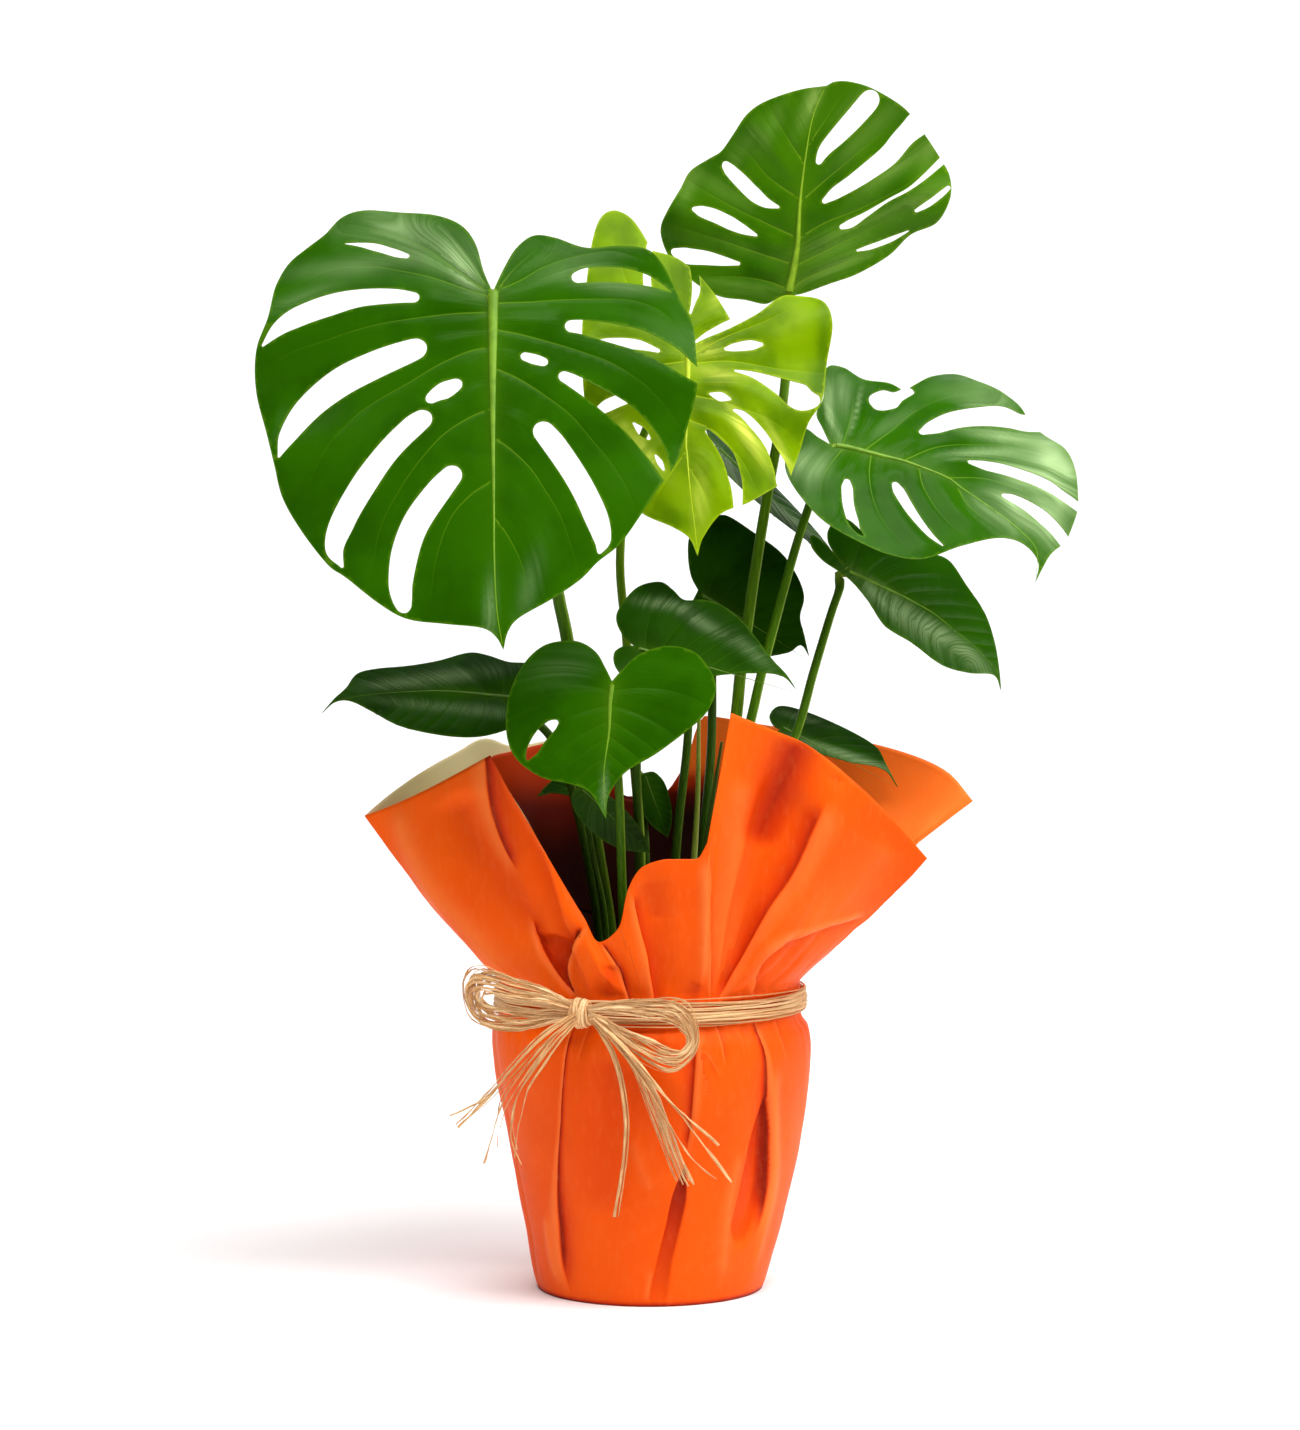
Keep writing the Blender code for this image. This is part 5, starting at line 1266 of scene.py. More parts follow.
# The rim, going round from the right by the back: (neck angle in degrees, x, y, z, bulge)
wrapRim = [
    (0, 0.128, 0.004, 0.252, 0.0), (10, 0.151, 0.038, 0.2535, -0.006), (13, 0.179, 0.052, 0.2878, -0.011),
    (14, 0.219, 0.06, 0.3175, -0.011), (20, 0.205, 0.075, 0.3355, 0.004), (27, 0.189, 0.088, 0.3445, 0.004),
    (36, 0.166, 0.101, 0.352, 0.002), (50, 0.12, 0.115, 0.362, -0.004), (64, 0.078, 0.12, 0.368, -0.008),
    (78, 0.038, 0.121, 0.374, 0.004), (86, 0.024, 0.121, 0.34, 0.006), (94, 0.006, 0.12, 0.318, 0.002),
    (104, -0.016, 0.117, 0.318, -0.004), (116, -0.04, 0.11, 0.348, 0.002),
    (124, -0.054, 0.105, 0.36, 0.004), (134, -0.074, 0.096, 0.357, 0.0),
    (143, -0.094, 0.083, 0.354, -0.004), (152, -0.112, 0.07, 0.36, 0.006),
    (162, -0.131, 0.053, 0.351, 0.004), (172, -0.154, 0.03, 0.338, 0.004),
    (184, -0.176, 0.002, 0.322, 0.002), (199, -0.187, -0.02, 0.312, 0.003),
    (206, -0.164, -0.031, 0.321, 0.01), (218, -0.13, -0.046, 0.338, 0.004),
    (229, -0.103, -0.06, 0.353, 0.0), (240, -0.084, -0.071, 0.32, -0.012),
    (250, -0.062, -0.083, 0.284, 0.006), (258, -0.042, -0.092, 0.252, 0.008),
    (263, -0.032, -0.096, 0.236, 0.0), (267, -0.019, -0.102, 0.247, 0.002),
    (271, -0.014, -0.105, 0.27, 0.002), (275, -0.004, -0.108, 0.285, -0.004),
    (280, 0.012, -0.11, 0.2895, 0.0), (286, 0.029, -0.11, 0.2895, 0.002), (289, 0.036, -0.111, 0.3, 0.004),
    (291.5, 0.051, -0.112, 0.3815, 0.0), (294, 0.075, -0.106, 0.3715, -0.004),
    (297, 0.096, -0.098, 0.3625, -0.016), (301, 0.12, -0.088, 0.346, 0.012),
    (316, 0.148, -0.075, 0.32, 0.006), (332, 0.164, -0.067, 0.303, 0.004), (347, 0.178, -0.06, 0.287, 0.002),
]
# Creases of the back of the body: (angle at the foot, angle at the neck, depth, width in degrees)
backPleats = [(20, 12, 0.0035, 5), (62, 70, 0.0040, 5), (110, 104, 0.0035, 5), (150, 158, 0.0040, 5),
              (196, 190, 0.0035, 5)]
rimCorners = (14, 199, 229, 289, 291.5, 347)  # neck angles where the rim turns sharply
# Folds as drawn from the front: (line from top to bottom, depth, kind, how much painted shade it gets, or how
# much painted highlight a ridge gets).
# A point is (x, z, width), where a width holds until the next one. leftOver means that the paper on the left
# of the line lies over what is on its right.
wrapFolds = [
    ([(396, 800, 10), (409, 844), (430, 886), (462, 921), (494, 958), (520, 985)], 0.0036, "ridge", 0.45),
    ([(452, 790, 18), (470, 835, 26), (494, 875, 28), (525, 915, 22), (552, 945, 14)],
     0.006, "valley", 0.36),
    ([(484, 742, 18), (487, 780, 24), (491, 815, 26), (502, 848, 20), (520, 880, 12)],
     0.0008, "leftOver", 0.9),
    ([(503, 772, 2.5), (520, 805), (535, 832), (552, 862)], 0.0008, "ridge", 0.5),
    ([(525, 915, 10), (546, 957, 12), (562, 982, 7), (578, 1001, 4), (588, 1018, 3)],
     0.005, "leftOver", 0.85),
    ([(586, 925, 5), (573, 942, 12), (566, 966, 9), (569, 986, 5), (579, 1003, 4), (588, 1020, 3)],
     0.006, "rightOver", 0.95),
    ([(612, 965, 10), (608, 985, 12), (606, 1003, 12)], 0.002, "valley", 0.4),
    ([(599, 941, 2), (608, 954, 4), (618, 970, 5), (625, 988, 5), (630, 1004, 4), (633, 1022, 3)],
     0.005, "leftOver", 1.0),
    ([(632, 890, 10), (640, 925, 14), (648, 955, 16), (652, 980, 14), (655, 1004, 10), (656, 1024, 6)],
     0.005, "leftOver", 0.75),
    ([(650, 880, 24), (655, 925, 20)], 0.001, "valley", 0.3),
    ([(700, 984, 9), (690, 1004, 12)], 0.0016, "valley", 0.4),
    ([(711, 845, 3), (712, 920, 4), (712, 1022, 5)], 0.0022, "leftOver", 0.45),
    ([(705, 856, 5), (706, 920), (706, 990)], 0.0012, "ridge", 0.55),
    ([(744, 770, 12), (735, 850), (725, 930), (716, 1000, 5)], 0.0024, "ridge", 0.3),
    ([(828, 796, 34), (812, 832, 34), (796, 867, 30), (772, 905, 26), (748, 945, 20), (718, 1001, 8),
      (707, 1020, 6)], 0.0085, "rightOver", 0.8),
    ([(800, 735, 24), (786, 775, 28), (770, 815, 24), (754, 856, 18)], 0.0024, "valley", 0.72),
    ([(827, 775, 4), (836, 778), (843, 783)], 0.0012, "valley", 0.35),
    ([(890, 842, 16), (850, 890), (812, 925), (790, 942)], 0.0024, "ridge", 0.2),
    ([(868, 916, 9), (830, 926, 12), (800, 937, 14), (776, 952, 16), (763, 965, 14), (758, 980, 14),
      (755, 1000, 10), (755, 1020, 8)], 0.0055, "leftOver", 0.5),
    ([(866, 911, 3.5), (828, 921), (797, 931), (771, 947), (760, 960)], 0.0012, "ridge", 0.45),
    ([(580, 1008, 3), (566, 1050, 3), (561, 1094, 3), (558, 1145, 4), (556, 1185, 7), (558, 1225, 13),
      (562, 1266, 14), (571, 1297, 10), (575, 1312, 8)], 0.0045, "leftOver", 0.95),
    ([(546, 1215, 3), (552, 1262), (563, 1290)], 0.001, "ridge", 0.35),
    ([(697, 1030, 14), (696, 1060, 14), (693, 1100, 12), (690, 1130, 9), (685, 1164, 5)],
     0.003, "rightOver", 0.8),
    ([(748, 1006, 3), (762, 1040, 4), (767, 1062, 6), (768, 1100, 10), (770, 1140, 15), (769, 1182, 15),
      (763, 1216, 12), (750, 1248, 8)], 0.0045, "rightOver", 0.95),
    ([(776, 1060, 4), (774, 1110), (774, 1180), (764, 1230), (748, 1288)], 0.0014, "ridge", 0.35),
    ([(741, 1150, 5), (727, 1210), (720, 1290)], 0.0014, "ridge", 0.35),
    ([(711, 1010, 4), (722, 1042), (727, 1068)], 0.0022, "leftOver", 0.55),
    ([(703, 1052, 4), (711, 1062), (719, 1078)], 0.0018, "rightOver", 0.4),
    ([(772, 1008, 4), (782, 1040), (788, 1060)], 0.0022, "leftOver", 0.45),
    ([(597, 1010, 4), (584, 1042), (576, 1068)], 0.0022, "leftOver", 0.4),
    ([(640, 1060, 22), (634, 1100, 20), (632, 1150, 16)], 0.0016, "valley", 0.25),
    ([(600, 1060, 12), (612, 1110, 14), (626, 1170, 12)], 0.0014, "valley", 0.2),
    ([(632, 1140, 4), (642, 1172), (654, 1196)], 0.0012, "ridge", 0.25),
    ([(650, 1276, 3), (646, 1304)], 0.0008, "ridge", 0.35),
    ([(612, 1050, 34), (606, 1130, 38), (604, 1230, 30)], 0.0004, "valley", 0.34),
]
# Pressed-in places inside a drawn outline: (outline, depth, how much painted shade at the top, and at the
# bottom)
wrapPockets = [
    ([(534, 936), (548, 958), (563, 982), (576, 1000), (568, 984), (566, 966), (572, 944), (556, 934)],
     0.005, 0.45, 0.85),
    ([(686, 1165), (673, 1195), (665, 1230), (656, 1266), (649, 1303), (666, 1303), (672, 1266),
      (680, 1232), (687, 1199)], 0.0035, 0.95, 0.25),
    ([(768, 1095), (757, 1125), (748, 1158), (738, 1199), (731, 1232), (739, 1246), (750, 1236),
      (760, 1212), (769, 1178), (769, 1111)], 0.005, 0.7, 0.3),
]


def rimCurve(table, column, angles):  # smooth between the corners, and sharp at them
    bounds = [-400, *rimCorners, 800]
    values = np.zeros(len(angles))
    for low, high in zip(bounds, bounds[1:]):
        part = table[(table[:, 0] >= low) & (table[:, 0] <= high)]
        mine = (angles >= low) & (angles <= high)
        values[mine] = easyCurve(part[:, 0], part[:, column], angles[mine])
    return values


def wrapAngles():  # columns close together at the front, with one at each sharp turn of the rim
    first, middle = rimCorners[0], paperWrap["front"][0]
    wide = np.arange(first, middle, paperWrap["backColumn"])
    fine = np.arange(middle, 360 + first - 0.3, paperWrap["frontColumn"])
    spots = np.concatenate([wide, fine])
    for corner in rimCorners:
        spots[np.abs(spots - corner).argmin()] = corner
    return spots


def wrapGrid():  # points[column, row], with each column's angle and each row's place from foot to rim
    angles = wrapAngles()
    table = np.array(wrapRim)
    once = (360, 0, 0, 0, 0)
    table = np.vstack([table[-2:] - once, table, table[:2] + once])
    rimX, rimY, rimZ, bulge = (rimCurve(table, k, angles % 360) for k in range(1, 5))
    turn = np.radians(angles)
    out = np.stack([np.cos(turn), np.sin(turn), np.zeros(len(turn))], 1)
    heights, radii = np.array(paperWrap["profile"]).T
    neckLow, neckHigh = paperWrap["neck"]
    levels = np.linspace(0, neckHigh, round(neckHigh / paperWrap["bodyRow"]) + 1)
    radius = easyCurve(heights, radii, levels)
    share = np.minimum(levels / neckLow, 1)
    swell = np.outer(np.cos(turn), np.sin(math.pi * share)) * paperWrap["lean"]
    for footAngle, neckAngle, depth, width in backPleats:
        away = (angles[:, None] - (footAngle + (neckAngle - footAngle) * share) + 180) % 360 - 180
        arch = np.sqrt(np.maximum(np.sin(math.pi * share), 0))
        swell -= depth * np.exp(-np.abs(away / width) ** 1.4) * arch
    body = out[:, None] * (radius + swell)[..., None] + np.array([0, 0, 1]) * levels[:, None]
    start = body[:, -1]
    rim = np.stack([rimX, rimY, rimZ], 1)
    outward = rim * (1, 1, 0) / np.linalg.norm(rim[:, :2], axis=1)[:, None]
    slant = (outward - (0, 0, 0.5)) / math.sqrt(1.25)
    middle = (start + rim) / 2 + slant * bulge[:, None] * 2
    t = (np.arange(1, paperWrap["flareRows"] + 1) / paperWrap["flareRows"])[:, None]
    flare = start[:, None] * (1 - t) ** 2 + middle[:, None] * 2 * t * (1 - t) + rim[:, None] * t * t
    return angles, np.concatenate([body, flare], 1)


def gridNormals(points):
    around = np.roll(points, -1, 0) - np.roll(points, 1, 0)
    up = np.gradient(points, axis=1)
    normals = np.cross(around, up)
    return normals / np.maximum(np.linalg.norm(normals, axis=2), 1e-9)[..., None]


def foldRelief(points, angles):  # how far the drawn folds push the front out, and the painted shade and highlights that the finish reads
    count, rows, _ = points.shape
    flat = points.reshape(-1, 3)
    turn = np.repeat(angles % 360, rows)
    first, last = paperWrap["front"]
    front = np.flatnonzero((turn > first) | (turn < last))
    turn = turn[front]
    drawn = drawnAt(flat[front])
    height = np.zeros(len(front))
    nearest = np.full(len(front), 1e9)
    far = {"paintedShade": 0.0, "glow": 0.0, "foldAway": 9.0, "foldDark": 0.0}
    far.update(pocketAway=-9.0, pocketDark=0.0)
    fields = {name: np.full(len(front), value) for name, value in far.items()}
    easeIn, easeOut = paperWrap["frontEase"]  # the folds fade out where the back begins
    ease = np.where(turn < 180, 0.0, 1.0) * smoothStep(turn, first, easeIn)
    ease = np.where(turn < last, 1 - smoothStep(turn, easeOut, last - 2), ease)
    for line, depth, kind, shade in wrapFolds:
        widths = []
        for point in line:
            widths.append(point[2] if len(point) > 2 else widths[-1])
        line = np.array([point[:2] for point in line], float)
        reach = reachAlong(line)
        away, place, side = lineDistance(drawn, smoothLine(line, step=4))
        width = np.interp(place, reach / reach[-1], widths)
        fade = smoothStep(place, 0.0, 0.12) * smoothStep(1 - place, 0.0, 0.20)
        bell = fade * np.exp(-((away / width) ** 1.6))
        # ridges get a painted highlight (glow), valleys and the under side of folds painted shade
        if kind == "ridge":
            height += depth * bell
            fields["glow"] = np.maximum(fields["glow"], shade * bell)
        elif kind == "valley":
            height -= depth * bell
            fields["paintedShade"] = np.maximum(fields["paintedShade"], shade * bell)
        else:
            under = away * side * (-1 if kind == "leftOver" else 1)
            height += depth * fade * np.exp(-away / width) * (0.25 - smoothStep(under, -3.0, 3.0))
            closer = away < nearest
            nearest[closer] = away[closer]
            fields["foldAway"][closer] = np.clip(under / width, -9, 9)[closer]
            fields["foldDark"][closer] = (shade * fade)[closer]
    for outline, depth, top, bottom in wrapPockets:
        loop = smoothLine(outline + outline[:1], step=4)
        away = lineDistance(drawn, loop)[0] * np.where(insideLoop(drawn, loop[:-1]), 1, -1)
        height -= depth * smoothStep(away, -1.0, 3.5)
        closer = away > fields["pocketAway"]
        low, high = min(y for _, y in outline), max(y for _, y in outline)
        fields["pocketDark"][closer] = np.interp(drawn[closer, 1], [low, high], [top, bottom])
        fields["pocketAway"][closer] = away[closer]
    relief = np.zeros(len(flat))
    relief[front] = height * ease
    for name in ("paintedShade", "glow", "foldDark", "pocketDark"):
        fields[name] = fields[name] * ease
    spread = {}
    for name, values in fields.items():
        spread[name] = np.full(len(flat), far[name])
        spread[name][front] = values
    return relief.reshape(count, rows), spread


def gatherRelief(angles, points):  # the small creases above and below the tie
    rng = np.random.default_rng(paperWrap["seed"])
    low, high = paperWrap["neck"]
    middle = (low + high) / 2
    height = points[..., 2]
    below, above = paperWrap["gatherReach"]
    relief = np.zeros(height.shape)
    for _ in range(paperWrap["gathers"]):
        centre, width = rng.uniform(0, 360), rng.uniform(1.2, 2.8)
        depth = paperWrap["gatherDepth"] * rng.uniform(0.4, 1.0)
        drift = rng.uniform(-90, 90)
        reachDown, reachUp = below * rng.uniform(0.5, 1.4), above * rng.uniform(0.4, 1.3)
        away = (angles[:, None] - centre - drift * (height - middle) + 180) % 360 - 180
        reach = np.where(height < middle, reachDown, reachUp)
        relief -= depth * np.exp(-((away / width) ** 2)) * np.exp(-(((height - middle) / reach) ** 2))
    return relief


def crumpleRelief(points):
    rng = np.random.default_rng(paperWrap["seed"] + 1)
    relief = np.zeros(points.shape[:2])
    for _ in range(paperWrap["crumpleWaves"]):
        direction = rng.normal(size=3) * rng.uniform(*paperWrap["crumplePitch"])
        relief += np.abs(np.sin(points @ direction + rng.uniform(0, math.tau))) - 0.6
    return relief * paperWrap["crumple"] / 6


paperTones = {
    "plain": (rgb(234, 80, 0), rgb(246, 92, 2)),
    "lit": rgb(255, 150, 78),
    # painted shade in folds, pockets and creases, and its darkest
    "foldShade": rgb(202, 46, 0),
    "deepestShade": rgb(84, 12, 0),
    "dim": rgb(98, 17, 0),  # inside, below the light
    # the inside's orange in painted shade
    "inner": rgb(216, 60, 0),
    "cream": (rgb(236, 216, 160), rgb(246, 230, 182)),
    # the orange inner side, painted lighter for the light that comes through the paper
    "rear": (rgb(246, 110, 32), rgb(252, 122, 44)),
    "glow": (rgb(190, 164, 104), rgb(255, 104, 24)),  # light through the paper, seen from inside
    "shut": rgb(44, 8, 2),  # painted shadow far down inside the wrap
}


def paperFinish(name, inside):
    finish = Finish(name, Roughness=0.5, Specular_IOR_Level=0.08)
    fibre = finish.noise(300, 4, (1.0, 1.0, 0.35))
    cloud = finish.step(finish.noise(9, 3), 0.3, 0.7)
    if inside:
        cream = finish.mix(cloud, *paperTones["cream"])
        warm = finish.mix(cloud, *paperTones["rear"])
        colour = finish.mix(finish.attribute("warmInside"), cream, warm)
        # painted shade going down inside: a darker orange, then dim, then the painted shadow far down
        deep = finish.attribute("deepInside")
        colour = finish.mix(finish.step(deep, 0.0, 0.3), colour, paperTones["inner"])
        colour = finish.mix(finish.step(deep, 0.3, 0.65), colour, paperTones["dim"])
        colour = finish.mix(finish.step(deep, 0.6, 1.0), colour, paperTones["shut"])
        glow = finish.mix(finish.attribute("warmInside"), *paperTones["glow"])
        glow = finish.mix(finish.step(deep, 0.0, 0.3), glow, rgb(0, 0, 0))
        finish.set(Emission_Color=glow, Emission_Strength=0.16)
        fibre = fibre * (1.0 - finish.step(deep, 0.2, 0.6))
    else:
        colour = finish.mix(cloud, *paperTones["plain"])
        # painted highlight along the ridges
        colour = finish.mix(finish.attribute("glow") * 0.7, colour, paperTones["lit"])
        # painted shade under each fold, in the pockets, along the valleys and at the foot
        away = finish.attribute("foldAway")
        foldDark = finish.attribute("foldDark")
        fold = foldDark * finish.step(away, -0.08, 0.05) * finish.maths("EXPONENT", away * -1.25)
        pocket = finish.attribute("pocketDark") * finish.step(finish.attribute("pocketAway"), -0.8, 1.2)
        dark = finish.maths("MAXIMUM", finish.maths("MAXIMUM", fold, pocket), finish.attribute("paintedShade"))
        # a thin painted highlight along the edge of the paper that lies over a fold
        lip = finish.step(away, -0.9, -0.1) * (1.0 - finish.step(away, -0.1, 0.0)) * foldDark
        colour = finish.mix(lip * 0.35, colour, paperTones["lit"])
        colour = finish.mix(finish.step(dark, 0.0, 0.8), colour, paperTones["foldShade"])
        colour = finish.mix(finish.step(dark, 0.55, 1.0) * 0.8, colour, paperTones["deepestShade"])
    colour = finish.mix(finish.step(fibre, 0.45, 0.8) * 0.07, colour, rgb(255, 160, 90))
    finish.set(Base_Color=colour)
    finish.bump(fibre * 0.3 + finish.noise(90, 3) * 0.7, 0.0005, 0.35)
    return finish.material


def wrapFaces(count, rows):  # round the body and flare, then over the base to its middle point
    rings = paperWrap["footRings"]
    first = count * rows
    middle = first + (rings - 1) * count
    faces = []
    for i in range(count):
        after = (i + 1) % count
        a, b = i * rows, after * rows
        faces += [(a + j, b + j, b + j + 1, a + j + 1) for j in range(rows - 1)]
    for i in range(count):
        after = (i + 1) % count
        faces.append((i * rows, first + i, first + after, after * rows))
        for ring in range(first, middle - count, count):
            faces.append((ring + i, ring + count + i, ring + count + after, ring + after))
        faces.append((middle - count + i, middle, middle - count + after))
    return faces


def makeWrap():
    angles, points = wrapGrid()
    normals = gridNormals(points)
    height = points[..., 2]
    ramp = smoothStep(height, 0.0, paperWrap["standing"])
    drawnRelief, fields = foldRelief(points, angles)
    relief = drawnRelief * ramp + gatherRelief(angles, points)
    relief += crumpleRelief(points) * ramp
    band, keptOut, keptIn = paperWrap["neckKeeps"]
    inNeck = np.exp(-(((height - sum(paperWrap["neck"]) / 2) / band) ** 2))
    relief = np.where(relief > 0, relief * (1 - (1 - keptOut) * inNeck), relief * (1 - (1 - keptIn) * inNeck))
    points = points + normals * relief[..., None]
    count, rows, _ = points.shape
    flat = list(points.reshape(-1, 3))
    rings = paperWrap["footRings"]
    for k in range(1, rings):
        arch = paperWrap["footHollow"] * math.sin(math.pi * k / rings)
        flat += list(points[:, 0] * (1 - k / rings) + (0, 0, arch))
    flat.append((0, 0, 0))
    turn = np.concatenate([np.repeat(angles % 360, rows), np.tile(angles % 360, rings - 1), [0]])
    height = np.array([p[2] for p in flat])
    warmFrom, warmTo = paperWrap["warmInside"]
    warm = ((turn < warmTo) | (turn > warmFrom)).astype(float)
    # painted shade: behind the leaves the inside is darker
    shaded = 0.06 * smoothStep(turn, 45, 62) * (1 - smoothStep(turn, 120, 135))
    # painted shade inside the wrap, darker further down
    darkest, lit = paperWrap["insideDark"]
    deep = 1 - smoothStep(height, darkest + shaded, lit - 0.05 * warm + shaded)
    rest = len(flat) - count * rows
    fields = {name: np.concatenate([values, np.full(rest, values[0])]) for name, values in fields.items()}
    # a painted contact shadow along the foot
    fields["paintedShade"] = np.maximum(fields["paintedShade"], 1 - smoothStep(height, 0.0006, 0.0022))
    fields.update(warmInside=warm, deepInside=deep)
    sheet = addPiece("sheet", meshOf("sheet", flat, (), wrapFaces(count, rows), **fields))
    sheet.data.materials.append(paperFinish("orangePaper", False))
    sheet.data.materials.append(paperFinish("paperInside", True))
    sheet.data.shade_smooth()
    piece = walled(sheet, "paperWrap", paperWrap["wall"], -1.0, inside=1)
    return seat(piece, "paper_wrap", slot="orange_paper")


# A second sheet of the paper inside the first, seen behind the stalks at the left
innerSheet = {
    "cut": (0.25, 0.12),
    "angles": (98, 214),  # degrees round from +X
    "inside": 0.0032,  # how far inside the first sheet
    "lowest": 14,  # rows above the neck at which it starts
    # its upper edge: degrees round, and the share of the way from there to the first sheet's rim
    "edge": [(98, 0.96), (112, 0.98), (134, 0.985), (143, 0.975), (151, 0.90), (158, 0.80), (170, 0.74),
             (186, 0.70), (200, 0.60), (214, 0.50)],
    "wave": 0.0012,
    "wall": 0.0004,
    "columns": 90,
    "rows": 40,
}


def makeInnerSheet():
    angles, points = wrapGrid()
    normals = gridNormals(points)
    rows = points.shape[1]
    edgeAngles, edgeShares = np.array(innerSheet["edge"]).T
    firstRow = rows - paperWrap["flareRows"] + innerSheet["lowest"]
    up = np.linspace(0, 1, innerSheet["rows"])
    columns = []
    for angle in np.linspace(*innerSheet["angles"], innerSheet["columns"]):
        k = min(np.searchsorted(angles, angle), len(angles) - 1)
        t = (angle - angles[k - 1]) / (angles[k] - angles[k - 1])
        column = points[k - 1] * (1 - t) + points[k] * t
        normal = normals[k - 1] * (1 - t) + normals[k] * t
        place = firstRow + (rows - 1 - firstRow) * np.interp(angle, edgeAngles, edgeShares) * up
        whole = np.minimum(place.astype(int), rows - 2)
        part = (place - whole)[:, None]
        line = column[whole] * (1 - part) + column[whole + 1] * part
        inward = normal[whole] * (1 - part) + normal[whole + 1] * part
        lift = innerSheet["wave"] * np.sin(angle / 7 + 3 * up) + innerSheet["inside"]
        columns.append(line - inward * (lift * smoothStep(up, -0.2, 0.3))[:, None])
    columns = np.array(columns)
    count, rows, _ = columns.shape
    faces = [(i * rows + j, (i + 1) * rows + j, (i + 1) * rows + j + 1, i * rows + j + 1)
             for i in range(count - 1) for j in range(rows - 1)]
    flat = columns.reshape(-1, 3)
    # painted shade, darker further down
    deep = 1 - 0.70 * smoothStep(flat[:, 2], 0.262, 0.356)
    fields = {"deepInside": deep, "warmInside": np.full(len(flat), 0.8)}
    sheet = addPiece("sheet", meshOf("sheet", flat, (), faces, **fields))
    sheet.data.materials.append(paperFinish("innerPaper", True))
    sheet.data.shade_smooth()
    return seat(walled(sheet, "paperInner", innerSheet["wall"], -1.0), slot="orange_paper")


makeWrap()
makeInnerSheet()
print("paper wrap made")


# Raffia tie
raffia = {
    "bandRadius": 0.1023,
    "bandMiddle": 0.1915,
    "bandHeight": 0.0155,
    "bandStrands": 20,
    "knotAngle": 246.6,  # degrees round from +X
    "knotReach": 0.1096,  # from the pot's axis to the knot's middle
    "knotSize": (0.0082, 0.0072, 0.0092),  # half width, depth and height
    "knotCore": 0.9,  # the core under the strands, as a share of that
    "knotStrands": 9,
    "knotStrandHalf": 0.0011,
    "strandHalf": 0.0012,
    "tailHalf": 0.0017,
    "flat": 0.28,  # thickness against width
    "seed": 11,
}
knotTurn = math.radians(raffia["knotAngle"])
knotOut = np.array([math.cos(knotTurn), math.sin(knotTurn), 0.0])
knotSide = np.array([-knotOut[1], knotOut[0], 0.0])
knotPlace = knotOut * raffia["knotReach"] + (0, 0, raffia["bandMiddle"])


def strandRecipe():  # each guide line becomes some flat strands that wander beside it
    sizes = {"Strands": 3, "Spread": 0.002, "Wander": 0.0008, "Ripple": 60.0, "Twist": 1.2, "Flat": 0.3}
    recipe = Recipe("raffiaStrands", Material=None, Seed=1, **sizes)
    curve = recipe.add("GeometryNodeMeshToCurve", {}, {"Mesh": recipe.start})
    inputs = {"Geometry": curve, "Amount": recipe.size("Strands")}
    copies = recipe.add("GeometryNodeDuplicateElements", {"domain": "SPLINE"}, inputs)
    inputs = {0: (-1, -1, -1), 1: (1, 1, 1), "Seed": recipe.size("Seed")}
    shift = recipe.add("FunctionNodeRandomValue", {"data_type": "FLOAT_VECTOR"}, inputs)
    copies = recipe.store(copies, "shift", shift, "FLOAT_VECTOR", "CURVE")
    inputs = {2: 0.0, 3: 1.0, "Seed": recipe.size("Seed") + 5}
    tint = recipe.add("FunctionNodeRandomValue", {}, inputs, out=1)
    copies = recipe.store(copies, "tint", tint, domain="CURVE")
    side = recipe.named("shift", "FLOAT_VECTOR")
    spread = recipe.vector("SCALE", side, recipe.size("Spread") * recipe.named("fan"))
    spot = recipe.vector("ADD", recipe.add("GeometryNodeInputPosition"), recipe.vector("SCALE", side, 3.0))
    inputs = {"Vector": spot, "Scale": recipe.size("Ripple")}
    ripple = recipe.add("ShaderNodeTexNoise", {}, inputs, out="Color")
    ripple = recipe.vector("SUBTRACT", ripple, (0.5, 0.5, 0.5))
    ripple = recipe.vector("SCALE", ripple, recipe.size("Wander") * 2.0 * recipe.named("fan"))
    inputs = {"Geometry": copies, "Offset": recipe.vector("ADD", spread, ripple)}
    moved = recipe.add("GeometryNodeSetPosition", {}, inputs)
    inputs = {"Vector": spot, "Scale": recipe.size("Ripple") * 0.5}
    slow = recipe.add("ShaderNodeTexNoise", {}, inputs, out="Fac")
    turn = (slow - 0.5) * recipe.size("Twist") * 6.0 + recipe.named("tilt")
    moved = recipe.add("GeometryNodeSetCurveTilt", {}, {"Curve": moved, "Tilt": turn})
    wide = recipe.named("thick") * (recipe.named("tint") * 0.7 + 0.65)
    recipe.end(recipe.tube(moved, 6, recipe.size("Flat"), wide))
    return recipe


def raffiaFinish(name):
    finish = Finish(name, Roughness=0.55)
    around = finish.attribute("around")
    along = finish.attribute("along")
    tint = finish.attribute("tint")
    fibre = finish.noise(1, 3, vector=finish.combine(around * 26, along * 14, tint * 40))
    straw = finish.mix(tint, rgb(228, 166, 94), rgb(255, 228, 176))
    shade = finish.mix(tint, rgb(150, 86, 36), rgb(216, 152, 84))
    colour = finish.mix(finish.step(fibre, 0.38, 0.60), shade, straw)
    # a faint painted glow lifts the strands out of their own shade
    finish.set(Base_Color=colour, Emission_Color=colour, Emission_Strength=0.07)
    finish.bump(fibre, 0.0003, 0.8)
    return finish.material


raffiaStrands = strandRecipe()
raffiaStraw = raffiaFinish("raffiaStraw")


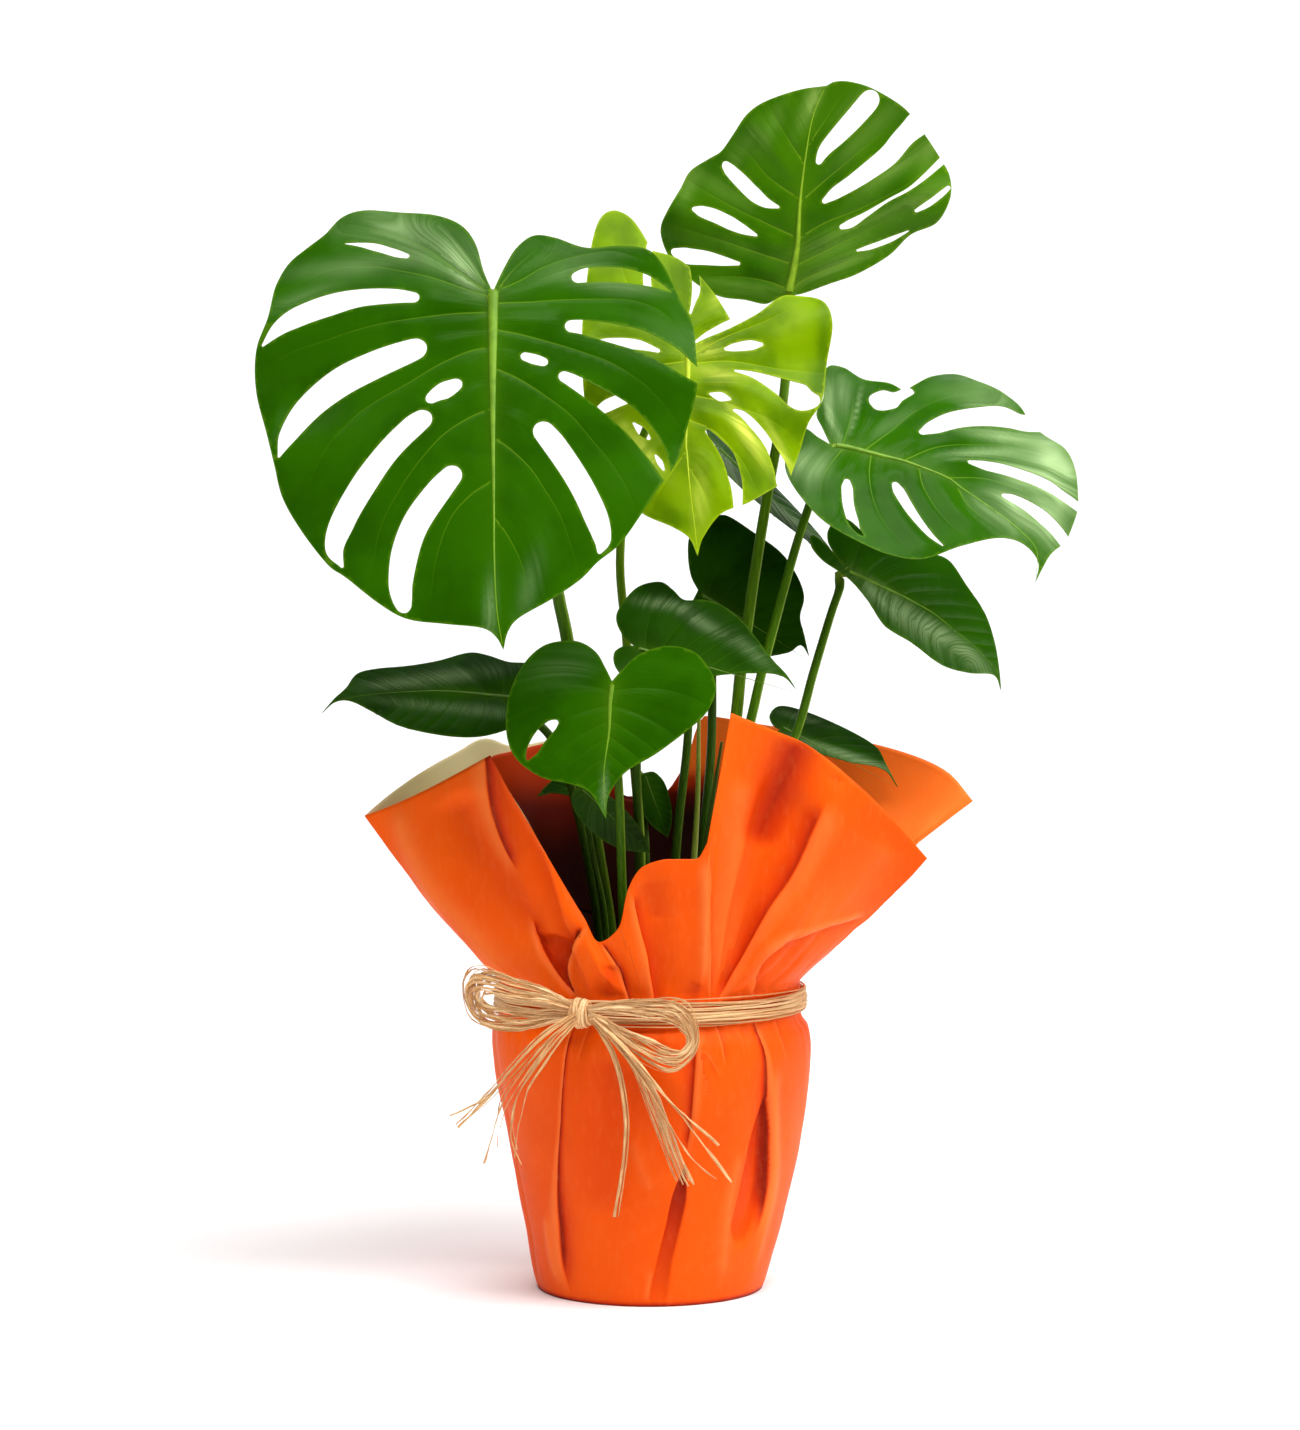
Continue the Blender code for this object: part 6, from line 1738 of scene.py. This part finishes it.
def raffiaPiece(name, lines, nodes, strands, spread, wander=0.0006, twist=1.0, ripple=60.0, flat=None):
    # lines: (points, closed, half width along it, fan along it, tilt)
    fields = {"along": np.concatenate([np.linspace(0, 1, len(line[0])) for line in lines])}
    for k, key in ((2, "thick"), (3, "fan"), (4, "tilt")):
        fields[key] = np.concatenate([np.broadcast_to(line[k], len(line[0])) for line in lines])
    guide = guideLines([line[:2] for line in lines], **fields)
    values = {"Strands": strands, "Spread": spread, "Wander": wander, "Twist": twist, "Ripple": ripple,
              "Flat": flat or raffia["flat"], "Seed": raffia["seed"], "Material": raffiaStraw}
    return seat(raffiaStrands.run(guide, name, **values), *nodes, slot="raffia")


def makeBand():
    rng = np.random.default_rng(raffia["seed"])
    turn = np.linspace(0, math.tau, 180, endpoint=False)
    count = raffia["bandStrands"]
    rings = []
    for k in range(count):
        height = raffia["bandMiddle"] + raffia["bandHeight"] * ((k + 0.5) / count - 0.5)
        phase = rng.uniform(0, math.tau, 3)
        drift = 0.0009 * np.sin(turn * 2 + phase[0]) + 0.0006 * np.sin(turn * 3 + phase[1])
        radius = raffia["bandRadius"] + 0.0006 * np.sin(turn * 5 + phase[2]) - 0.0004 * abs(k / 7.5 - 1)
        ring = np.stack([radius * np.cos(turn), radius * np.sin(turn), height + drift], 1)
        rings.append((ring, True, raffia["strandHalf"] * rng.uniform(0.7, 1.1), 1.0, 0.0))
    raffiaPiece("raffiaBand", rings, ["raffia_band"], 1, 0.0002, wander=0.0005, twist=0.25, flat=0.5)


def makeKnot():
    side, deep, tall = raffia["knotSize"]
    axes = np.array([knotSide * side, knotOut * deep, (0, 0, tall)])
    v = np.linspace(0, math.pi, 13)
    u = np.linspace(0, math.tau, 24, endpoint=False)
    ball = [(math.sin(a) * math.cos(b), math.sin(a) * math.sin(b), -math.cos(a)) for a in v[1:-1] for b in u]
    ball = [(0, 0, -1), *ball, (0, 0, 1)]
    points = knotPlace + raffia["knotCore"] * (np.array(ball) @ axes)
    faces = []
    for k in range(len(u)):
        after = (k + 1) % len(u)
        faces.append((0, 1 + after, 1 + k))
        for j in range(len(v) - 3):
            a = 1 + j * len(u)
            faces.append((a + k, a + after, a + len(u) + after, a + len(u) + k))
        a = 1 + (len(v) - 3) * len(u)
        faces.append((a + k, a + after, len(points) - 1))
    tint = np.full(len(points), 0.3)
    core = addPiece("raffiaKnotCore", meshOf("raffiaKnotCore", points, (), faces, tint=tint))
    core.data.shade_smooth()
    core.data.materials.append(raffiaStraw)
    seat(core, "raffia_knot", slot="raffia")
    rng = np.random.default_rng(raffia["seed"] + 2)
    rings = []
    turn = np.linspace(0, math.tau, 40, endpoint=False)
    middle = (raffia["knotStrands"] - 1) / 2
    for k in range(raffia["knotStrands"]):
        offset = (k - middle) / (middle + 0.6)
        reach = math.sqrt(max(1 - offset**2, 0.1))
        lean = rng.uniform(-0.12, 0.12)
        local = np.stack([offset + lean * np.sin(turn), np.cos(turn) * reach, np.sin(turn) * reach], 1)
        rings.append((knotPlace + local @ axes, True, raffia["knotStrandHalf"], 1.0, math.pi / 2))
    raffiaPiece("raffiaKnot", rings, [], 1, 0.0001, wander=0.0004, twist=0.2, flat=0.5)


# The bow, drawn from the front as (x, z, depth). A loop's strands lie between its outer and its inner line.
bowLoops = {
    "raffiaLoopLeft": {
        "node": "raffia_loop_left",
        "strands": 24,
        "uneven": 0.15,  # how much shorter some strands' loops are
        "cross": 0.9,  # how freely a strand comes back in another place than it went out
        "outer": [(578, 1007, -0.099), (543, 988, -0.104), (510, 977, -0.104), (483, 968, -0.102),
            (469, 968, -0.1), (461, 982, -0.096), (463, 1003, -0.093), (472, 1021, -0.094),
            (492, 1030, -0.096), (520, 1030, -0.098), (550, 1023, -0.099), (578, 1016, -0.099)],
        "inner": [(578, 1011, -0.1), (543, 1004, -0.105), (512, 1001, -0.105), (492, 997, -0.103),
            (477, 995, -0.101), (472, 998, -0.098), (473, 1003, -0.095), (480, 1006, -0.096),
            (496, 1009, -0.098), (520, 1011, -0.099), (550, 1012, -0.099), (578, 1012, -0.099)],
    },
    "raffiaLoopRight": {
        "node": "raffia_loop_right",
        "strands": 24,
        "uneven": 0.05,
        "cross": 0.35,
        "outer": [(588, 1007, -0.107), (620, 1001, -0.112), (650, 999, -0.116), (678, 1000, -0.118),
            (693, 1012, -0.119), (700, 1032, -0.119), (699, 1050, -0.119), (688, 1068, -0.119),
            (672, 1074, -0.119), (650, 1065, -0.118), (622, 1045, -0.115), (602, 1026, -0.111),
            (590, 1017, -0.107)],
        "inner": [(588, 1011, -0.107), (620, 1014, -0.111), (650, 1019, -0.114), (672, 1025, -0.116),
            (684, 1033, -0.117), (689, 1041, -0.117), (687, 1048, -0.117), (678, 1051, -0.117),
            (664, 1047, -0.117), (645, 1039, -0.116), (622, 1029, -0.114), (604, 1019, -0.111),
            (590, 1013, -0.107)],
    },
}
# Loose ends: node, then (half width, route) for each strand
bowTails = {
    "raffia_tail_a": [
        (1.1, [(574, 1015, -0.108), (543, 1037, -0.113), (513, 1068, -0.111), (489, 1097, -0.106),
             (457, 1129, -0.1)]),
        (1.0, [(574, 1014, -0.108), (542, 1034, -0.112), (511, 1065, -0.11), (487, 1094, -0.105),
             (455, 1126, -0.099)]),
        (0.5, [(574, 1016, -0.109), (540, 1041, -0.114), (514, 1067, -0.112), (490, 1096, -0.107),
             (470, 1108, -0.103), (449, 1117, -0.099)]),
        (0.7, [(574, 1018, -0.108), (545, 1042, -0.113), (516, 1072, -0.111), (497, 1094, -0.107),
             (478, 1113, -0.103)]),
    ],
    "raffia_tail_b": [
        (0.8, [(574, 1019, -0.109), (547, 1042, -0.114), (520, 1076, -0.112), (504, 1100, -0.109),
             (495, 1125, -0.106), (483, 1166, -0.102)]),
        (0.6, [(574, 1020, -0.109), (545, 1046, -0.114), (520, 1073, -0.112), (502, 1097, -0.108),
             (497, 1120, -0.106), (496.5, 1148, -0.103)]),
        (0.7, [(575, 1020, -0.109), (550, 1043, -0.114), (524, 1079, -0.112), (507, 1106, -0.109),
             (500, 1130, -0.107)]),
    ],
    "raffia_tail_c": [
        (0.9, [(576, 1021, -0.109), (553, 1044, -0.114), (533, 1070, -0.115), (517, 1098, -0.112),
             (511, 1125, -0.109), (512, 1145, -0.107), (521, 1166, -0.105)]),
        (0.7, [(577, 1022, -0.109), (557, 1046, -0.114), (541, 1070, -0.115), (528, 1090, -0.113),
             (521, 1115, -0.11), (517, 1135, -0.108), (514, 1159, -0.106)]),
        (0.6, [(576, 1022, -0.109), (549, 1050, -0.115), (524, 1085, -0.113), (512, 1110, -0.11),
             (513, 1135, -0.108), (516, 1152, -0.106)]),
    ],
    "raffia_tail_d": [
        (1.0, [(590, 1020, -0.108), (609, 1048, -0.113), (620, 1080, -0.113), (625, 1116, -0.111),
             (625, 1145, -0.108), (620, 1187, -0.103), (614, 1219, -0.099)]),
        (0.9, [(591, 1020, -0.108), (611, 1046, -0.113), (623, 1080, -0.114), (628, 1116, -0.111),
             (628, 1145, -0.108), (623, 1187, -0.103), (618, 1219, -0.099)]),
    ],
    "raffia_tail_f": [
        (0.8, [(593, 1019, -0.11), (616, 1042, -0.117), (640, 1065, -0.121), (668, 1100, -0.12),
             (695, 1126, -0.116), (719, 1147, -0.112)]),
        (0.9, [(593, 1020, -0.11), (615, 1044, -0.117), (645, 1085, -0.12), (672, 1130, -0.115),
             (692, 1160, -0.111), (716, 1181, -0.107)]),
        (1.0, [(593, 1019, -0.11), (618, 1043, -0.118), (650, 1080, -0.121), (680, 1115, -0.118),
             (706, 1150, -0.112), (732, 1184, -0.107)]),
    ],
}
# The fullest bundle of loose ends, between its left and its right line
bowSheaf = {
    "node": "raffia_tail_e",
    "strands": 12,
    "left": [(590, 1020, -0.109), (611, 1042, -0.114), (632, 1070, -0.117), (650, 1118, -0.114),
             (668, 1163, -0.109), (678, 1186, -0.106)],
    "right": [(594, 1019, -0.110), (622, 1044, -0.117), (648, 1076, -0.120), (666, 1112, -0.117),
              (684, 1160, -0.111), (698, 1190, -0.107)],
}


def makeBow():
    rng = np.random.default_rng(raffia["seed"] + 1)
    for name, loop in bowLoops.items():
        outer, inner = np.array(loop["outer"]), np.array(loop["inner"])
        lines = []
        for k in range(loop["strands"]):
            out = (k + rng.uniform(0.2, 0.8)) / loop["strands"]
            back = np.clip(out + loop["cross"] * rng.uniform(-0.6, 0.6), 0, 1)
            share = (out + (back - out) * smoothStep(np.linspace(0, 1, len(outer)), 0.35, 0.75))[:, None]
            route = outer * (1 - share) + inner * share + rng.normal(0, 1, outer.shape) * (0.9, 0.9, 0.0006)
            route[:, 0] += (outer[0, 0] - route[:, 0]) * loop["uneven"] * rng.uniform(0, 1) ** 2
            line = smoothLine(atDepth(route), count=64)
            half = raffia["strandHalf"] * rng.uniform(0.45, 0.9)
            lines.append((line, False, half, 1.0, rng.uniform(-0.8, 0.8)))
        raffiaPiece(name, lines, [loop["node"]], 1, 0.0, wander=0.0007, twist=0.9, ripple=90.0)
    left, right = np.array(bowSheaf["left"]), np.array(bowSheaf["right"])
    sheaf = []
    for k in range(bowSheaf["strands"]):
        place = (k + rng.uniform(0.2, 0.8)) / bowSheaf["strands"]
        share = np.clip(place + rng.uniform(-0.12, 0.12) * np.linspace(0, 1, len(left)), 0, 1)[:, None]
        route = left * (1 - share) + right * share
        route[-1] += (route[-1] - route[-2]) * rng.uniform(-0.25, 0.12)
        sheaf.append((rng.uniform(0.38, 0.72), route))
    for node, strands in [*bowTails.items(), (bowSheaf["node"], sheaf)]:
        lines = []
        for half, route in strands:
            line = smoothLine(atDepth(route), count=54)
            share = np.linspace(0, 1, len(line))
            thick = raffia["tailHalf"] * half * (1 - 0.25 * share)
            lines.append((line, False, thick, share, rng.uniform(-0.7, 0.7)))
        looks = {"wander": 0.0010, "twist": 0.9, "ripple": 70.0}
        letter = node[-1].upper()
        others = raffiaPiece("raffiaTail" + letter, lines[1:], [], 1, 0.0, **looks)
        main = raffiaPiece("raffiaEnd" + letter, lines[:1], [node], 1, 0.0, **looks)
        width = 2 * raffia["tailHalf"] * strands[0][0]


makeBand()
makeKnot()
makeBow()
print("raffia tied")


# Studio
backdropSize = {"front": -4.0, "flat": 2.4, "bend": 1.2, "height": 4.0, "halfWidth": 5.0}
airStrength = 0.12
lamps = {  # place, aim, size, watts
    "topLight": ((0.35, -1.0, 2.2), (0.0, 0.0, 0.4), (1.5, 0.7), 40),
    "sheenLight": ((0.85, -0.3, 2.2), (0.1, 0.0, 0.45), (0.6, 0.45), 10),
    "leftSheen": ((-0.75, -1.0, 2.2), (-0.1, 0.0, 0.45), (0.7, 0.5), 6),
    "keyLight": ((1.6, -1.3, 1.8), (0.0, 0.0, 0.35), (0.7, 0.7), 14),
    "sideLight": ((1.9, -0.3, 1.3), (0.0, 0.0, 0.3), (0.9, 0.7), 15.5),
    "fillLight": ((-1.9, -1.3, 0.8), (0.0, 0.0, 0.35), (0.8, 1.4), 6.5),
    "wallLight": ((0.0, 1.3, 2.8), (0.0, 2.9, 0.8), (3.5, 0.8), 82),
}


def makeCamera():
    camera = bpy.data.objects.new("camera", bpy.data.cameras.new("camera"))
    camera.location = studio["eye"]
    below = (studio["imageMiddle"] - studio["levelUnit"][1]) * studio["unitAtAxis"]
    aim = Vector((0.0, 0.0, eye[2] - below))
    camera.rotation_euler = (aim - camera.location).to_track_quat("-Z", "Y").to_euler()
    camera.data.sensor_width = studio["sensor"]
    camera.data.lens = studio["focal"] / studio["imageHeight"] * studio["sensor"]
    camera.data.clip_end = 30
    bpy.context.scene.collection.objects.link(camera)
    bpy.context.scene.camera = camera


def addLamp(name, place, aim, size, watts):
    lamp = bpy.data.objects.new(name, bpy.data.lights.new(name, "AREA"))
    lamp.data.shape = "RECTANGLE"
    lamp.data.size, lamp.data.size_y = size
    lamp.data.energy = watts
    lamp.location = place
    lamp.rotation_euler = (Vector(aim) - Vector(place)).to_track_quat("-Z", "Y").to_euler()
    bpy.context.scene.collection.objects.link(lamp)


def makeBackdrop():  # a floor that curves up into a wall behind
    reach, radius = backdropSize["flat"], backdropSize["bend"]
    turn = np.linspace(0, math.pi / 2, 16)
    side = [(reach + radius * math.sin(a), radius * (1 - math.cos(a))) for a in turn]
    side = [(backdropSize["front"], 0.0), *side, (reach + radius, backdropSize["height"])]
    half = backdropSize["halfWidth"]
    points = [(x, y, z) for y, z in side for x in (-half, half)]
    faces = [(2 * i, 2 * i + 1, 2 * i + 3, 2 * i + 2) for i in range(len(side) - 1)]
    backdrop = addPiece("backdrop", meshOf("backdrop", points, (), faces))
    backdrop.data.shade_smooth()
    finish = Finish("studioPaper", Roughness=0.9, Specular_IOR_Level=0.1)
    finish.set(Base_Color=finish.mix(finish.noise(3, 2), rgb(246, 246, 246), rgb(250, 250, 250)))
    backdrop.data.materials.append(finish.material)


makeCamera()
makeBackdrop()
world = bpy.data.worlds.new("studioAir")
world.use_nodes = True
air = world.node_tree.nodes["Background"].inputs
air["Color"].default_value = (1.0, 1.0, 1.0, 1.0)
air["Strength"].default_value = airStrength
bpy.context.scene.world = world
bpy.context.scene.view_settings.view_transform = "Standard"
for name, lamp in lamps.items():
    addLamp(name, *lamp)
print("studio lit")
